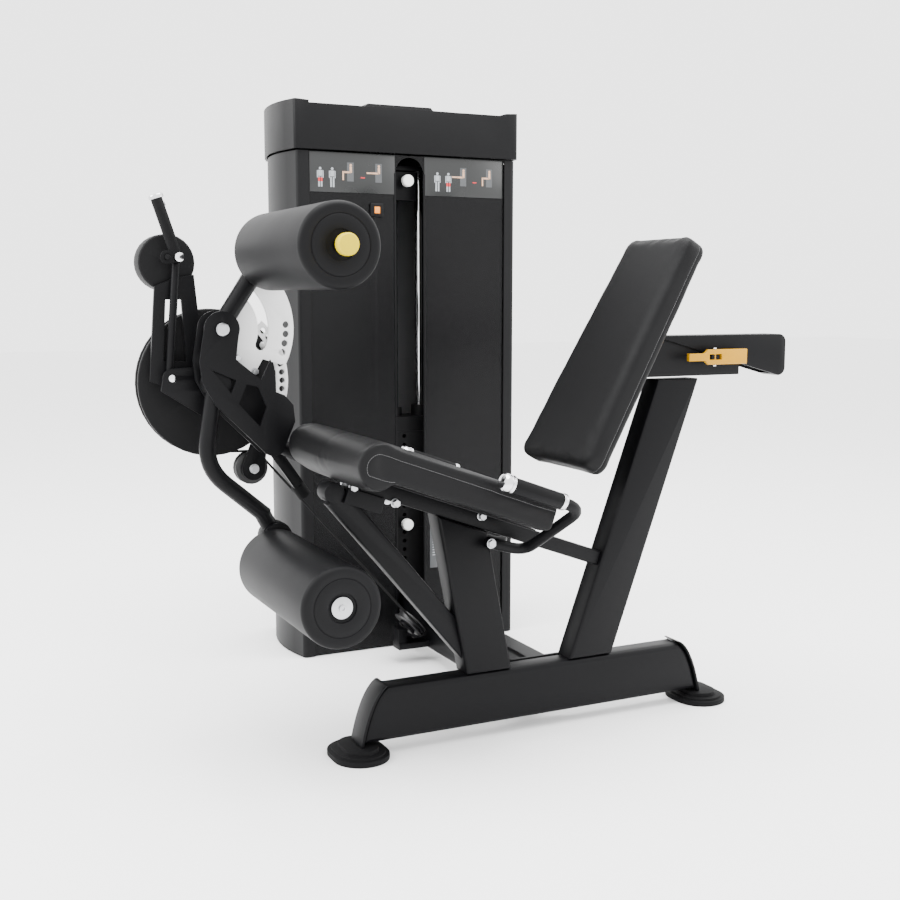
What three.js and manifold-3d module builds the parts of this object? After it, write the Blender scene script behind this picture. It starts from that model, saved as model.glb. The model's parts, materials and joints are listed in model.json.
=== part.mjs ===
// Seated leg extension and leg curl machine with a selectorised weight tower.
// Units are millimetres. +X points from the leg rollers to the backrest, +Y from the seat to the
// weight tower, +Z up. The design frame has x = 0 on the tower's centreline, y = 0 on the seat's
// centreline and z = 0 on the floor; the finished group is then centred on its own footprint.

import * as THREE from "three";
import { mergeVertices } from "three/addons/utils/BufferGeometryUtils.js";
import Module from "manifold-3d";

const wasm = await Module();
wasm.setup();

// ---------------------------------------------------------------- driving dimensions

const GAP = 0.3; // between pieces that touch
const ROUND = 22; // sides of a large round
const FINE_ROUND = 14; // sides of a small round

const beam = { halfWidth: 30, bottom: 32, top: 154, round: 12, frontTop: -398, rearTop: 372, splay: 58 };
const endPlate = { thickness: 6, halfWidth: 32, lip: 4 };
const foot = { length: 160, width: 125, sole: 12, crown: 17, height: 26, frontX: -458, rearX: 447 };
const spine = { x: 8, halfWidth: 30, round: 8 };
const flange = { thickness: 8, halfWidth: 74 };
const frontPost = { x: -149, halfWidth: 57, lean: -0.197, halfDepth: 31 };
const rearPost = { x: 120, halfWidth: 58.5, lean: 0.362, halfDepth: 30 };
const arm = { bottom: 803, top: 905, halfWidth: 30, wall: 5, frontX: 221, rearX: 676, round: 20 };
const slider = { clearance: 0.6, length: 340, plateThickness: 6, plateHalfWidth: 80 };
const back = { x: 13, z: 622, tilt: 29.7, height: 602, thickness: 64, lowHalf: 158, topHalf: 134, round: 34 };
const carriagePlate = { low: 150, high: 450 };
const paddle = { x: 440, length: 94, nub: 77, height: 36, standoff: 16, thickness: 12, pin: 4 };

const seat = {
  tilt: 20,
  top: 507,
  rollRadius: 51,
  rollAt: -684,
  rearAt: -252,
  underside: 434,
  nearHalf: 207,
  farHalf: 240,
  round: 22,
};
const board = { thickness: 4 };
const rail = { depth: 34, halfWidth: 20, frontAt: -632 };
const railHanger = { front: 28, rear: 60, drop: 32, halfWidth: 30 };
const knee = { x: -515, z: 588, radius: 22, halfWidth: 24 };
const crossTube = { along: -506, radius: 18 };
const sideArm = { radius: 17, x: -558, z: 667, tie: 22 };
const brace = { width: 50, halfDepth: 20, lowX: -223, lowZ: 240, beyond: 60 };
const handle = { tube: 12.5, standoff: 33, at: 505, frontAt: -428, bendAt: -228, lowAt: -213, low: 379 };
const grip = { radius: 16.5, frontAt: -411, rearAt: -281 };
const handleEnd = { x: -165, z: 457 };

const armPivot = { x: -672, z: 925 };
const kneePivot = { x: -682, z: 805 };
const cheek = { thickness: 6, nearY: 247, farY: 307, shaft: 20, clearance: 0.5 };
const roller = { radius: 85, nearY: -193, farY: 250, round: 14, bore: 12.6, axle: 12, recess: 34, recessDepth: 6 };
const upperRoller = { x: -558, z: 1095 };
const lowerRoller = { x: -563, z: 386 };
const swing = { x: -550, z: 447, pin: 10, hub: 36, pinEnd: 290, plateY: 252, plateThickness: 9 };
const upperTube = { radius: 21, y: 276, hub: 30, boss: 25 };
const lever = { radius: 19, y: 280, bendX: -711, bendZ: 616, bend: 62, endX: -572, endZ: 497 };
const sector = { y: 300, thickness: 6.5, outer: 182, holes: 164, holeRadius: 8, slot: 110, slotHalf: 12.5 };
const ring = { y: 322, thickness: 6, inner: 156, outer: 184, holes: 170, holeRadius: 7 };
const cam = { x: -655, z: 797, y: 405, thickness: 40, radius: 172, groove: 160, grooveHalf: 8 };
const crank = { y: 335, thickness: 10, pinX: -765, pinZ: 815, pin: 7 };
const linkRod = { y: 360, half: 8, radius: 9, eye: 12.5, lowEye: 14, topX: -742, topZ: 1084 };
const handGrip = { pivotX: -766, pivot: 6, tabY: 344, topX: -785, topZ: 1212, radius: 13, y: 352 };
const counter = { x: -758, z: 1073, radius: 64, y: 384.5, thickness: 55, armY: 374, armThickness: 10 };
const idler = { x: -562, z: 590, radius: 40, groove: 33, thickness: 24, y: 425 };
const idlerBoss = { x: -545, z: 660, radius: 10, cheek: 18 };
const stopBar = { x1: -541, z1: 648, x2: -478, z2: 556, halfWidth: 13, thickness: 8 };
const bumper = { radius: 17, length: 34 };

const pivotHole = 10.5; // in the cheeks, round the upper arm's bolt

const tower = {
  frontY: 735,
  depth: 350,
  halfWidth: 328,
  rearHalf: 296,
  bulge: 76,
  post: 34,
  wall: 4,
  corner: 14,
  top: 1380,
  slotHalf: 41.5,
  slotTop: 1375,
  panelRecess: 6,
  panel: 4,
};
const basePlate = { inset: 8, margin: 16, thickness: 12 };
const upstand = { y: tower.frontY + 35, thickness: 8, halfWidth: 68, top: 118 };
const cap = { bottom: 1384, top: 1517, dip: 14, overhang: 7, wall: 5, humpHalf: 95, humpHeight: 14 };
const rod = { x: 70, y: 835, radius: 12.5, bottom: 12.3, top: 1344.7 };
const stack = { count: 19, pitch: 25.4, resting: 8, bottom: 130, halfWidth: 115, frontY: 785, depth: 100 };
const stem = { above: 24, radius: 13, hole: 14, pinHole: 6, pin: 5, pinLength: 52, knob: 16.5, knobLength: 24 };
const headPlate = { height: 42, holes: 14 };
const increment = { bottom: 1262, top: 1340, halfWidth: 36, y: 778, depth: 34, knobZ: 1314 };
const crossmember = { bottom: 1345, thickness: 12, halfWidth: 288, frontY: 790, rearY: 985 };
const topPulley = { z: 1425, radius: 50, thickness: 22 };
const lowPulley = { radius: 40, groove: 34, thickness: 22 };
const basePulley = { radius: 47, groove: 41, thickness: 22 };
const cable = { radius: 3, nest: 4.5, x: -38, riseY: 925 };

const seatTurn = THREE.MathUtils.degToRad(seat.tilt);
const alongSeat = new THREE.Vector2(Math.cos(seatTurn), -Math.sin(seatTurn));
const aboveSeat = new THREE.Vector2(Math.sin(seatTurn), Math.cos(seatTurn));

// ---------------------------------------------------------------- materials

const finish = (color, roughness, metalness) =>
  new THREE.MeshStandardMaterial({ color, roughness, metalness });
const blackPaint = finish("#262626", 0.5, 0.3);
const greyPaint = finish("#d4d4d4", 0.45, 0.2);
const yellowPaint = finish("#d8b62c", 0.4, 0.1);
const yellowKnob = finish("#e8dc28", 0.35, 0);
const upholstery = finish("#3a3a3a", 0.6, 0);
const rubber = finish("#1c1c1c", 0.85, 0);
const shroudPlastic = finish("#3c3c3c", 0.45, 0);
const tintedPanel = finish("#454545", 0.15, 0);
const chrome = finish("#e6e6e6", 0.12, 1);
const steel = finish("#8c8c8c", 0.35, 0.9);
const castIron = finish("#242424", 0.6, 0.4);
const whitePlastic = finish("#f2f2f0", 0.35, 0);

// ---------------------------------------------------------------- solids

const machine = new THREE.Group();
machine.name = "leg_extension_curl_machine";

// A closed three.js geometry as a manifold solid.
function solid(geometry) {
  const plain = geometry.index ? geometry.toNonIndexed() : geometry.clone();
  plain.deleteAttribute("normal");
  plain.deleteAttribute("uv");
  const merged = mergeVertices(plain, 1e-3);
  return new wasm.Manifold(
    new wasm.Mesh({
      numProp: 3,
      vertProperties: merged.attributes.position.array,
      triVerts: new Uint32Array(merged.index.array),
    }),
  );
}

// A manifold solid as a three.js geometry.
function toGeometry(shape) {
  const mesh = shape.getMesh();
  const geometry = new THREE.BufferGeometry();
  geometry.setAttribute("position", new THREE.BufferAttribute(mesh.vertProperties, 3));
  geometry.setIndex(new THREE.BufferAttribute(mesh.triVerts, 1));
  geometry.computeVertexNormals();
  return geometry;
}

const joined = (first, ...others) => others.reduce((sum, other) => sum.add(other), first);
const cut = (first, ...others) => others.reduce((rest, other) => rest.subtract(other), first);

function add(name, shape, material, parent = machine) {
  const mesh = new THREE.Mesh(toGeometry(shape), material);
  mesh.name = name;
  parent.add(mesh);
  return mesh;
}

function box(x1, x2, y1, y2, z1, z2) {
  const geometry = new THREE.BoxGeometry(x2 - x1, y2 - y1, z2 - z1);
  geometry.translate((x1 + x2) / 2, (y1 + y2) / 2, (z1 + z2) / 2);
  return solid(geometry);
}

// A round bar from one point to another.
function bar(from, to, radius, sides = FINE_ROUND) {
  const start = new THREE.Vector3(...from);
  const run = new THREE.Vector3(...to).sub(start);
  const geometry = new THREE.CylinderGeometry(radius, radius, run.length(), sides);
  geometry.translate(0, run.length() / 2, 0);
  const turn = new THREE.Quaternion().setFromUnitVectors(new THREE.Vector3(0, 1, 0), run.normalize());
  geometry.applyQuaternion(turn);
  geometry.translate(start.x, start.y, start.z);
  return solid(geometry);
}

const barY = (x, z, y1, y2, radius, sides) => bar([x, y1, z], [x, y2, z], radius, sides);
const barZ = (x, y, z1, z2, radius, sides) => bar([x, y, z1], [x, y, z2], radius, sides);

// A turned piece about a Y axis through (x, z); the profile is [radius, y] pairs, rising in y.
function turned(profile, x, z, sides = ROUND) {
  const points = profile.map(([radius, y]) => new THREE.Vector2(radius, y));
  const geometry = new THREE.LatheGeometry(points, sides);
  geometry.translate(x, 0, z);
  return solid(geometry);
}

// A plate drawn in the X-Z plane and given thickness from y1 to y2.
function plate(shape, y1, y2, edge = 0) {
  const geometry = new THREE.ExtrudeGeometry(shape, {
    depth: y2 - y1 - 2 * edge,
    bevelEnabled: edge > 0,
    bevelThickness: edge,
    bevelSize: edge,
    bevelOffset: -edge,
    bevelSegments: 2,
    curveSegments: 10,
  });
  geometry.translate(0, 0, edge);
  geometry.rotateX(Math.PI / 2);
  geometry.translate(0, y2, 0);
  return solid(geometry);
}

// A plan outline in the X-Y plane and given height from z1 to z2.
function prism(shape, z1, z2) {
  const geometry = new THREE.ExtrudeGeometry(shape, {
    depth: z2 - z1,
    bevelEnabled: false,
    curveSegments: 8,
  });
  geometry.translate(0, 0, z1);
  return solid(geometry);
}

const outline = (...points) => new THREE.Shape(points.map(([x, y]) => new THREE.Vector2(x, y)));

function roundedBox(x1, x2, y1, y2, radius) {
  const shape = new THREE.Shape();
  const quarter = Math.PI / 2;
  shape.absarc(x2 - radius, y1 + radius, radius, -quarter, 0);
  shape.absarc(x2 - radius, y2 - radius, radius, 0, quarter);
  shape.absarc(x1 + radius, y2 - radius, radius, quarter, 2 * quarter);
  shape.absarc(x1 + radius, y1 + radius, radius, 2 * quarter, 3 * quarter);
  return shape;
}

function hole(shape, x, z, radius) {
  const path = new THREE.Path();
  path.absarc(x, z, radius, 0, 2 * Math.PI);
  shape.holes.push(path);
}

// A round tube along a route of corners, each corner rounded off by its own reach.
function bentTube(corners, radius, sides = FINE_ROUND, stepsPerBend = 6) {
  const route = corners.map(([x, y, z]) => new THREE.Vector3(x, y, z));
  const points = [route[0]];
  for (let i = 1; i < route.length - 1; i++) {
    const reach = corners[i][3];
    const before = route[i - 1].clone().sub(route[i]).setLength(reach).add(route[i]);
    const after = route[i + 1].clone().sub(route[i]).setLength(reach).add(route[i]);
    const bend = new THREE.QuadraticBezierCurve3(before, route[i], after);
    points.push(...bend.getPoints(stepsPerBend));
  }
  points.push(route[route.length - 1]);
  const path = new THREE.CurvePath();
  points.slice(1).forEach((point, i) => path.add(new THREE.LineCurve3(points[i], point)));
  // getPoint is asked for whole steps only, so each joint of the polyline gets one section.
  path.getPointAt = (u) => points[Math.round(u * (points.length - 1))].clone();
  path.getSpacedPoints = () => points.map((point) => point.clone());
  path.getTangentAt = (u) => {
    const i = Math.round(u * (points.length - 1));
    const first = points[Math.max(i - 1, 0)];
    const last = points[Math.min(i + 1, points.length - 1)];
    return last.clone().sub(first).normalize();
  };
  const section = new THREE.Shape();
  section.absarc(0, 0, radius, 0, 2 * Math.PI);
  const geometry = new THREE.ExtrudeGeometry(section, {
    steps: points.length - 1,
    extrudePath: path,
    curveSegments: Math.ceil(sides / 2),
    bevelEnabled: false,
  });
  const tube = solid(geometry);
  if (tube.volume() > 0) return tube;
  throw new Error("a bent tube is inside out");
}

// A point of the seat's own plane, given along it and above it, in X-Z.
function seatPoint(along, above) {
  return alongSeat.clone().multiplyScalar(along).addScaledVector(aboveSeat, above);
}

// Where the line "above = height over the seat" meets a leaning post's edge.
function seatLineAtEdge(height, edgeX, lean) {
  const z = (height - aboveSeat.x * edgeX) / (aboveSeat.y + aboveSeat.x * lean);
  return [edgeX + lean * z, z];
}

const polar = (centre, radius, degrees) => {
  const angle = THREE.MathUtils.degToRad(degrees);
  return [centre.x + radius * Math.cos(angle), centre.z + radius * Math.sin(angle)];
};

// ---------------------------------------------------------------- base

function beamEnd(side, offset) {
  const top = side < 0 ? beam.frontTop - offset : beam.rearTop + offset;
  const low = top + side * beam.splay;
  const belly = top + side * beam.splay * 0.62;
  return { top, low, belly, crest: beam.top - (beam.top - beam.bottom) * 0.16 };
}

function buildBase() {
  const front = beamEnd(-1, 0);
  const rear = beamEnd(1, 0);
  const side = new THREE.Shape();
  side.moveTo(front.low, beam.bottom);
  side.lineTo(rear.low, beam.bottom);
  side.quadraticCurveTo(rear.belly, rear.crest, rear.top, beam.top);
  side.lineTo(front.top, beam.top);
  side.quadraticCurveTo(front.belly, front.crest, front.low, beam.bottom);
  add("base_beam", plate(side, -beam.halfWidth, beam.halfWidth, beam.round), blackPaint);

  for (const [name, direction] of [["front", -1], ["rear", 1]]) {
    const inner = beamEnd(direction, GAP);
    const outer = beamEnd(direction, GAP + endPlate.thickness);
    const low = foot.height + GAP;
    const shape = new THREE.Shape();
    shape.moveTo(inner.low, low);
    shape.lineTo(inner.low, beam.bottom);
    shape.quadraticCurveTo(inner.belly, inner.crest, inner.top, beam.top + endPlate.lip);
    shape.lineTo(outer.top, beam.top + endPlate.lip);
    shape.quadraticCurveTo(outer.belly, outer.crest, outer.low, beam.bottom);
    shape.lineTo(outer.low, low);
    add(`beam_end_plate_${name}`, plate(shape, -endPlate.halfWidth, endPlate.halfWidth), blackPaint);
    buildFoot(name, direction < 0 ? foot.frontX : foot.rearX);
  }

  const y1 = beam.halfWidth + GAP;
  const y2 = y1 + flange.thickness;
  const flangeShape = roundedBox(
    spine.x - flange.halfWidth, spine.x + flange.halfWidth, beam.bottom, beam.top, 6,
  );
  const tube = roundedBox(
    spine.x - spine.halfWidth, spine.x + spine.halfWidth, beam.bottom, beam.top, spine.round,
  );
  const body = joined(plate(flangeShape, y1, y2), plate(tube, y2 - 1, upstand.y - GAP));
  add("base_spine", joined(body, basePulleyBracket()), blackPaint);
}

// A rubber foot: a stadium that steps up twice to the end plate's width.
function buildFoot(name, x) {
  const straight = (foot.length - foot.width) / 2;
  const stadium = (radius) => {
    const shape = new THREE.Shape();
    shape.absarc(x, straight, radius, 0, Math.PI);
    shape.absarc(x, -straight, radius, Math.PI, 2 * Math.PI);
    return shape;
  };
  const sole = prism(stadium(foot.width / 2), 0, foot.sole);
  const crown = prism(stadium(foot.width / 2 - 9), foot.sole, foot.crown);
  const step = prism(stadium(foot.width / 2 - 24), foot.crown, foot.height);
  add(`foot_${name}`, joined(sole, crown, step), rubber);
}

// ---------------------------------------------------------------- main frame

function buildFrame() {
  const onBeam = beam.top + GAP;
  const railLow = seat.underside - board.thickness - 2 * GAP - rail.depth;
  const railTop = railLow + rail.depth;

  const edge = (post, side) => post.x + side * post.halfWidth - post.lean * beam.top;
  const lean = (post, side, z) => [edge(post, side) + post.lean * z, z];
  const frontTopLeft = seatLineAtEdge(railLow - GAP, edge(frontPost, -1), frontPost.lean);
  const frontTopRight = seatLineAtEdge(railLow - GAP, edge(frontPost, 1), frontPost.lean);
  const front = outline(
    lean(frontPost, -1, onBeam), lean(frontPost, 1, onBeam), frontTopRight, frontTopLeft,
  );
  add("front_post", plate(front, -frontPost.halfDepth, frontPost.halfDepth, 7), blackPaint);

  const armFoot = arm.bottom - GAP;
  const rear = outline(
    lean(rearPost, -1, onBeam), lean(rearPost, 1, onBeam),
    lean(rearPost, 1, armFoot), lean(rearPost, -1, armFoot),
  );
  add("rear_post", plate(rear, -rearPost.halfDepth, rearPost.halfDepth, 7), blackPaint);

  const rearEdge = edge(rearPost, -1) - 2 * GAP;
  const railShape = outline(
    seatPoint(rail.frontAt, railLow).toArray(),
    seatLineAtEdge(railLow, rearEdge, rearPost.lean),
    seatLineAtEdge(railTop, rearEdge, rearPost.lean),
    seatPoint(rail.frontAt, railTop).toArray(),
  );
  const railSolid = plate(railShape, -rail.halfWidth, rail.halfWidth, 4);

  const kneeTube = barY(knee.x, knee.z, -knee.halfWidth, knee.halfWidth, knee.radius, ROUND);
  const start = new THREE.Vector2(knee.x, knee.z);
  const run = new THREE.Vector2(brace.lowX, brace.lowZ).sub(start);
  const length = run.length();
  run.normalize();
  const side = new THREE.Vector2(-run.y, run.x).multiplyScalar(brace.width / 2);
  const near = start.clone().addScaledVector(run, knee.radius * 0.6);
  const far = start.clone().addScaledVector(run, length + brace.beyond);
  const braceShape = outline(
    near.clone().sub(side).toArray(), far.clone().sub(side).toArray(),
    far.clone().add(side).toArray(), near.clone().add(side).toArray(),
  );
  const postFace = edge(frontPost, -1) - 2 * GAP;
  const beyondPost = outline(
    [postFace, 0], [rearPost.x, 0], [rearPost.x, arm.bottom],
    [postFace + frontPost.lean * arm.bottom, arm.bottom],
  );
  const braceSolid = cut(
    plate(braceShape, -brace.halfDepth, brace.halfDepth, 4), plate(beyondPost, -2 * brace.halfDepth, 2 * brace.halfDepth),
  );
  add("knee_subframe", joined(kneeTube, braceSolid), blackPaint);

  const { front: hangFront, rear: hangRear, drop } = railHanger;
  const hanger = outline(
    seatPoint(rail.frontAt - hangFront, railLow - drop).toArray(),
    seatPoint(rail.frontAt + hangRear, railLow - drop).toArray(),
    seatPoint(rail.frontAt + hangRear, railLow + 1).toArray(),
    seatPoint(rail.frontAt - hangFront, railLow + 1).toArray(),
  );
  const hangerSolid = cut(
    plate(hanger, -railHanger.halfWidth, railHanger.halfWidth),
    barY(knee.x, knee.z, -2 * knee.halfWidth, 2 * knee.halfWidth, knee.radius + 2 * GAP, ROUND),
    plate(braceShape, -brace.halfDepth - GAP, brace.halfDepth + GAP),
  );
  const largest = hangerSolid.decompose().sort((a, b) => b.volume() - a.volume())[0];
  add("seat_rail", joined(railSolid, largest, cheekSupport(railTop)), blackPaint);
  buildBackArm();
}

// The tube under the seat and the arm on its far side that carry the two cheeks.
function cheekSupport(railTop) {
  const under = seatPoint(crossTube.along, railTop - crossTube.radius);
  const y = (cheek.nearY + cheek.thickness + cheek.farY) / 2;
  return joined(
    barY(under.x, under.y, 0, y, crossTube.radius, ROUND),
    bar([under.x, y, under.y], [sideArm.x, y, sideArm.z], sideArm.radius, ROUND),
    barY(
      sideArm.x, sideArm.z, cheek.nearY + cheek.thickness + GAP, cheek.farY - GAP, sideArm.tie, ROUND,
    ),
  );
}

function buildBackArm() {
  const armBody = new THREE.Shape();
  const slope = (arm.top - arm.bottom) * Math.tan(THREE.MathUtils.degToRad(back.tilt));
  armBody.moveTo(arm.frontX, arm.bottom);
  armBody.absarc(arm.rearX - arm.round, arm.bottom + arm.round, arm.round, -Math.PI / 2, 0);
  armBody.absarc(arm.rearX - arm.round, arm.top - arm.round, arm.round, 0, Math.PI / 2);
  armBody.lineTo(arm.frontX + slope, arm.top);
  const bore = box(
    arm.frontX - 80, arm.rearX - 24,
    -arm.halfWidth + arm.wall, arm.halfWidth - arm.wall,
    arm.bottom + arm.wall, arm.top - arm.wall,
  );
  const latchHole = barY(paddle.x - paddle.nub + 14, (arm.bottom + arm.top) / 2, -60, 0, 7);
  const armSolid = cut(plate(armBody, -arm.halfWidth, arm.halfWidth, 2), bore, latchHole);
  add("back_arm", joined(armSolid, paddleLug()), blackPaint);
}

// ---------------------------------------------------------------- seat and backrest

function buildSeat() {
  const group = new THREE.Group();
  group.rotation.y = seatTurn;
  machine.add(group);

  const rollAbove = seat.top - seat.rollRadius;
  const low = Math.asin((rollAbove - seat.underside) / seat.rollRadius);
  const profile = new THREE.Shape();
  profile.moveTo(seat.rearAt - 6, seat.underside);
  profile.lineTo(seat.rearAt, seat.underside + 10);
  profile.absarc(seat.rearAt - seat.round, seat.top - seat.round, seat.round, 0, Math.PI / 2);
  profile.absarc(seat.rollAt, rollAbove, seat.rollRadius, Math.PI / 2, 2 * Math.PI - low);
  add("seat_pad", plate(profile, -seat.nearHalf, seat.farHalf, 6), upholstery, group);

  const end = {
    along: alongSeat.x * handleEnd.x + alongSeat.y * handleEnd.z,
    above: aboveSeat.x * handleEnd.x + aboveSeat.y * handleEnd.z,
  };
  const inner = frontPost.halfDepth + handle.tube + GAP;
  for (const [name, side, half] of [["near", -1, seat.nearHalf], ["far", 1, seat.farHalf]]) {
    const y = side * (half + handle.standoff);
    const tube = bentTube(
      [
        [handle.frontAt, y, handle.at],
        [handle.bendAt, y, handle.at, 42],
        [handle.lowAt, side * inner, handle.low, 38],
        [end.along, side * inner, end.above],
      ],
      handle.tube,
      16,
    );
    const sleeve = bar([grip.frontAt, y, handle.at], [grip.rearAt, y, handle.at], grip.radius);
    add(`seat_handle_${name}`, joined(tube, sleeve), blackPaint, group);
  }
}

function buildBackrest() {
  const group = new THREE.Group();
  group.position.set(back.x, 0, back.z);
  group.rotation.y = THREE.MathUtils.degToRad(back.tilt);
  machine.add(group);

  const { lowHalf, topHalf, height, round } = back;
  const quarter = Math.PI / 2;
  const face = new THREE.Shape();
  face.absarc(lowHalf - round, round, round, -quarter, 0);
  face.absarc(topHalf - round, height - round, round, 0, quarter);
  face.absarc(round - topHalf, height - round, round, quarter, 2 * quarter);
  face.absarc(round - lowHalf, round, round, 2 * quarter, 3 * quarter);
  const edge = 14;
  const geometry = new THREE.ExtrudeGeometry(face, {
    depth: back.thickness - 2 * edge,
    bevelThickness: edge,
    bevelSize: edge,
    bevelOffset: -edge,
    bevelSegments: 3,
    curveSegments: 5,
  });
  geometry.translate(0, 0, edge);
  geometry.rotateX(Math.PI / 2);
  geometry.rotateZ(Math.PI / 2);
  add("backrest_pad", solid(geometry), upholstery, group);

  // The carriage is a mounting plate on a tube that slides inside the back arm.
  const turn = THREE.MathUtils.degToRad(back.tilt);
  const rear = back.thickness + GAP;
  const at = (x, z) => [
    back.x + x * Math.cos(turn) + z * Math.sin(turn),
    back.z - x * Math.sin(turn) + z * Math.cos(turn),
  ];
  const plateShape = outline(
    at(rear, carriagePlate.low), at(rear + slider.plateThickness, carriagePlate.low),
    at(rear + slider.plateThickness, carriagePlate.high), at(rear, carriagePlate.high),
  );
  const low = arm.bottom + arm.wall + slider.clearance;
  const high = arm.top - arm.wall - slider.clearance;
  const onPlate = (z) => {
    const up = (z - back.z + (rear + 3) * Math.sin(turn)) / Math.cos(turn);
    return [at(rear + 3, up)[0], z];
  };
  const tubeEnd = onPlate(low)[0] + slider.length;
  const tubeShape = outline(onPlate(low), [tubeEnd, low], [tubeEnd, high], onPlate(high));
  const half = arm.halfWidth - arm.wall - slider.clearance;
  const carriage = joined(
    plate(plateShape, -slider.plateHalfWidth, slider.plateHalfWidth), plate(tubeShape, -half, half),
  );
  add("backrest_carriage", carriage, blackPaint);
}

// Where the paddle lever sits beside the back arm.
function paddlePlace() {
  const innerY = -arm.halfWidth - paddle.standoff;
  const outerY = innerY - paddle.thickness;
  return { z: (arm.bottom + arm.top) / 2, innerY, outerY, pinY: (innerY + outerY) / 2, lugHalf: 5 };
}

function paddleLug() {
  const { z, outerY, pinY, lugHalf } = paddlePlace();
  return cut(
    box(paddle.x - 11, paddle.x + 11, outerY + 2, 1 - arm.halfWidth, z - lugHalf, z + lugHalf),
    barZ(paddle.x, pinY, z - 20, z + 20, paddle.pin + 0.5, 12),
  );
}

// The yellow paddle turns on a vertical pin in a lug on the arm and pushes the latch with its nub.
function buildPaddle() {
  const { z, innerY, outerY, pinY, lugHalf } = paddlePlace();
  const half = paddle.height / 2;
  const front = outline(
    [paddle.x - paddle.nub, z - 9], [paddle.x - 30, z - 9], [paddle.x - 20, z - half],
    [paddle.x + paddle.length, z - half], [paddle.x + paddle.length, z + half],
    [paddle.x - 20, z + half], [paddle.x - 30, z + 9], [paddle.x - paddle.nub, z + 9],
  );
  const clearance = 1.5;
  const slot = box(
    paddle.x - 18, paddle.x + 18, outerY - 5, innerY + 5, z - lugHalf - clearance, z + lugHalf + clearance,
  );
  const pin = barZ(paddle.x, pinY, z - half - 3, z + half + 3, paddle.pin, 12);
  add("paddle_lever", joined(cut(plate(front, outerY, innerY, 2), slot), pin), yellowPaint);
}

// ---------------------------------------------------------------- leg mechanism, fixed pieces

function cheekOutline() {
  const { x, z } = armPivot;
  const shape = new THREE.Shape();
  shape.moveTo(x - 52, z - 70);
  shape.lineTo(x - 47, z - 116);
  shape.lineTo(x - 18, z - 168);
  shape.absarc(sideArm.x, sideArm.z, sideArm.tie + 8, Math.PI * 1.2, Math.PI * 1.75);
  shape.lineTo(x + 165, z - 211);
  shape.lineTo(x + 161, z - 173);
  shape.lineTo(x + 141, z - 150);
  shape.lineTo(x + 121, z - 142);
  shape.lineTo(x + 120, z - 95);
  shape.lineTo(x + 109, z - 69);
  shape.lineTo(x + 87, z - 114);
  shape.lineTo(x + 30, z - 67);
  shape.lineTo(x + 36, z - 20);
  shape.absarc(x, z, 40, 0, Math.PI * 0.9);
  return shape;
}

function buildCheeks() {
  const near = cheekOutline();
  near.holes.push(
    new THREE.Path([[-697, 836], [-655, 783], [-643, 812]].map(([x, z]) => new THREE.Vector2(x, z))),
    new THREE.Path(
      [[-619, 802], [-638, 759], [-590, 706], [-574, 750], [-593, 796]].map(
        ([x, z]) => new THREE.Vector2(x, z),
      ),
    ),
  );
  hole(near, armPivot.x, armPivot.z, pivotHole);
  add("pivot_cheek_near", plate(near, cheek.nearY, cheek.nearY + cheek.thickness), blackPaint);

  const far = cheekOutline();
  hole(far, kneePivot.x, kneePivot.z, cheek.shaft + cheek.clearance);
  hole(far, armPivot.x, armPivot.z, pivotHole);
  add("pivot_cheek_far", plate(far, cheek.farY, cheek.farY + cheek.thickness), blackPaint);

  const bolt = turned(
    [
      [0, cheek.nearY - 8], [15, cheek.nearY - 6], [15, cheek.nearY - GAP], [10, cheek.nearY - GAP],
      [10, cheek.farY + 12], [0, cheek.farY + 12],
    ],
    armPivot.x, armPivot.z, FINE_ROUND,
  );
  add("arm_pivot_bolt", bolt, chrome);
}

// The light grey plate whose row of holes locks the upper roller's arm.
function buildSector() {
  const shape = new THREE.Shape();
  const at = (radius, degrees) => polar(armPivot, radius, degrees);
  shape.moveTo(...at(48, -72));
  shape.lineTo(...at(140, -55));
  shape.lineTo(...at(128, -33));
  shape.lineTo(...at(172, -29));
  shape.absarc(
    armPivot.x, armPivot.z, sector.outer, THREE.MathUtils.degToRad(-26), THREE.MathUtils.degToRad(62),
  );
  shape.lineTo(...at(48, 74));
  for (const degrees of [2.7, -4.8, -12.3, -19.8]) {
    hole(shape, ...at(sector.holes, degrees), sector.holeRadius);
  }
  const slot = new THREE.Path();
  const low = THREE.MathUtils.degToRad(-20);
  const high = THREE.MathUtils.degToRad(50);
  slot.absarc(armPivot.x, armPivot.z, sector.slot + sector.slotHalf, low, high);
  slot.absarc(...at(sector.slot, 50), sector.slotHalf, high, high + Math.PI);
  slot.absarc(armPivot.x, armPivot.z, sector.slot - sector.slotHalf, high, low, true);
  slot.absarc(...at(sector.slot, -20), sector.slotHalf, low + Math.PI, low + 2 * Math.PI);
  shape.holes.push(slot);
  add("arm_lock_plate", plate(shape, sector.y, sector.y + sector.thickness), greyPaint);
}

function buildStop() {
  const start = new THREE.Vector2(stopBar.x1, stopBar.z1);
  const end = new THREE.Vector2(stopBar.x2, stopBar.z2);
  const run = end.clone().sub(start).normalize();
  const side = new THREE.Vector2(-run.y, run.x).multiplyScalar(stopBar.halfWidth);
  const y1 = cheek.farY + cheek.thickness + GAP;
  const shape = outline(
    start.clone().sub(side).toArray(), end.clone().sub(side).toArray(),
    end.clone().add(side).toArray(), start.clone().add(side).toArray(),
  );
  add("stop_bar", plate(shape, y1, y1 + stopBar.thickness), steel);
  const tip = end.clone().addScaledVector(run, 1);
  const far = tip.clone().addScaledVector(run, bumper.length);
  const y = y1 + bumper.radius;
  add("stop_bumper", bar([tip.x, y, tip.y], [far.x, y, far.y], bumper.radius), rubber);
}

// ---------------------------------------------------------------- rollers and their arms

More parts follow.
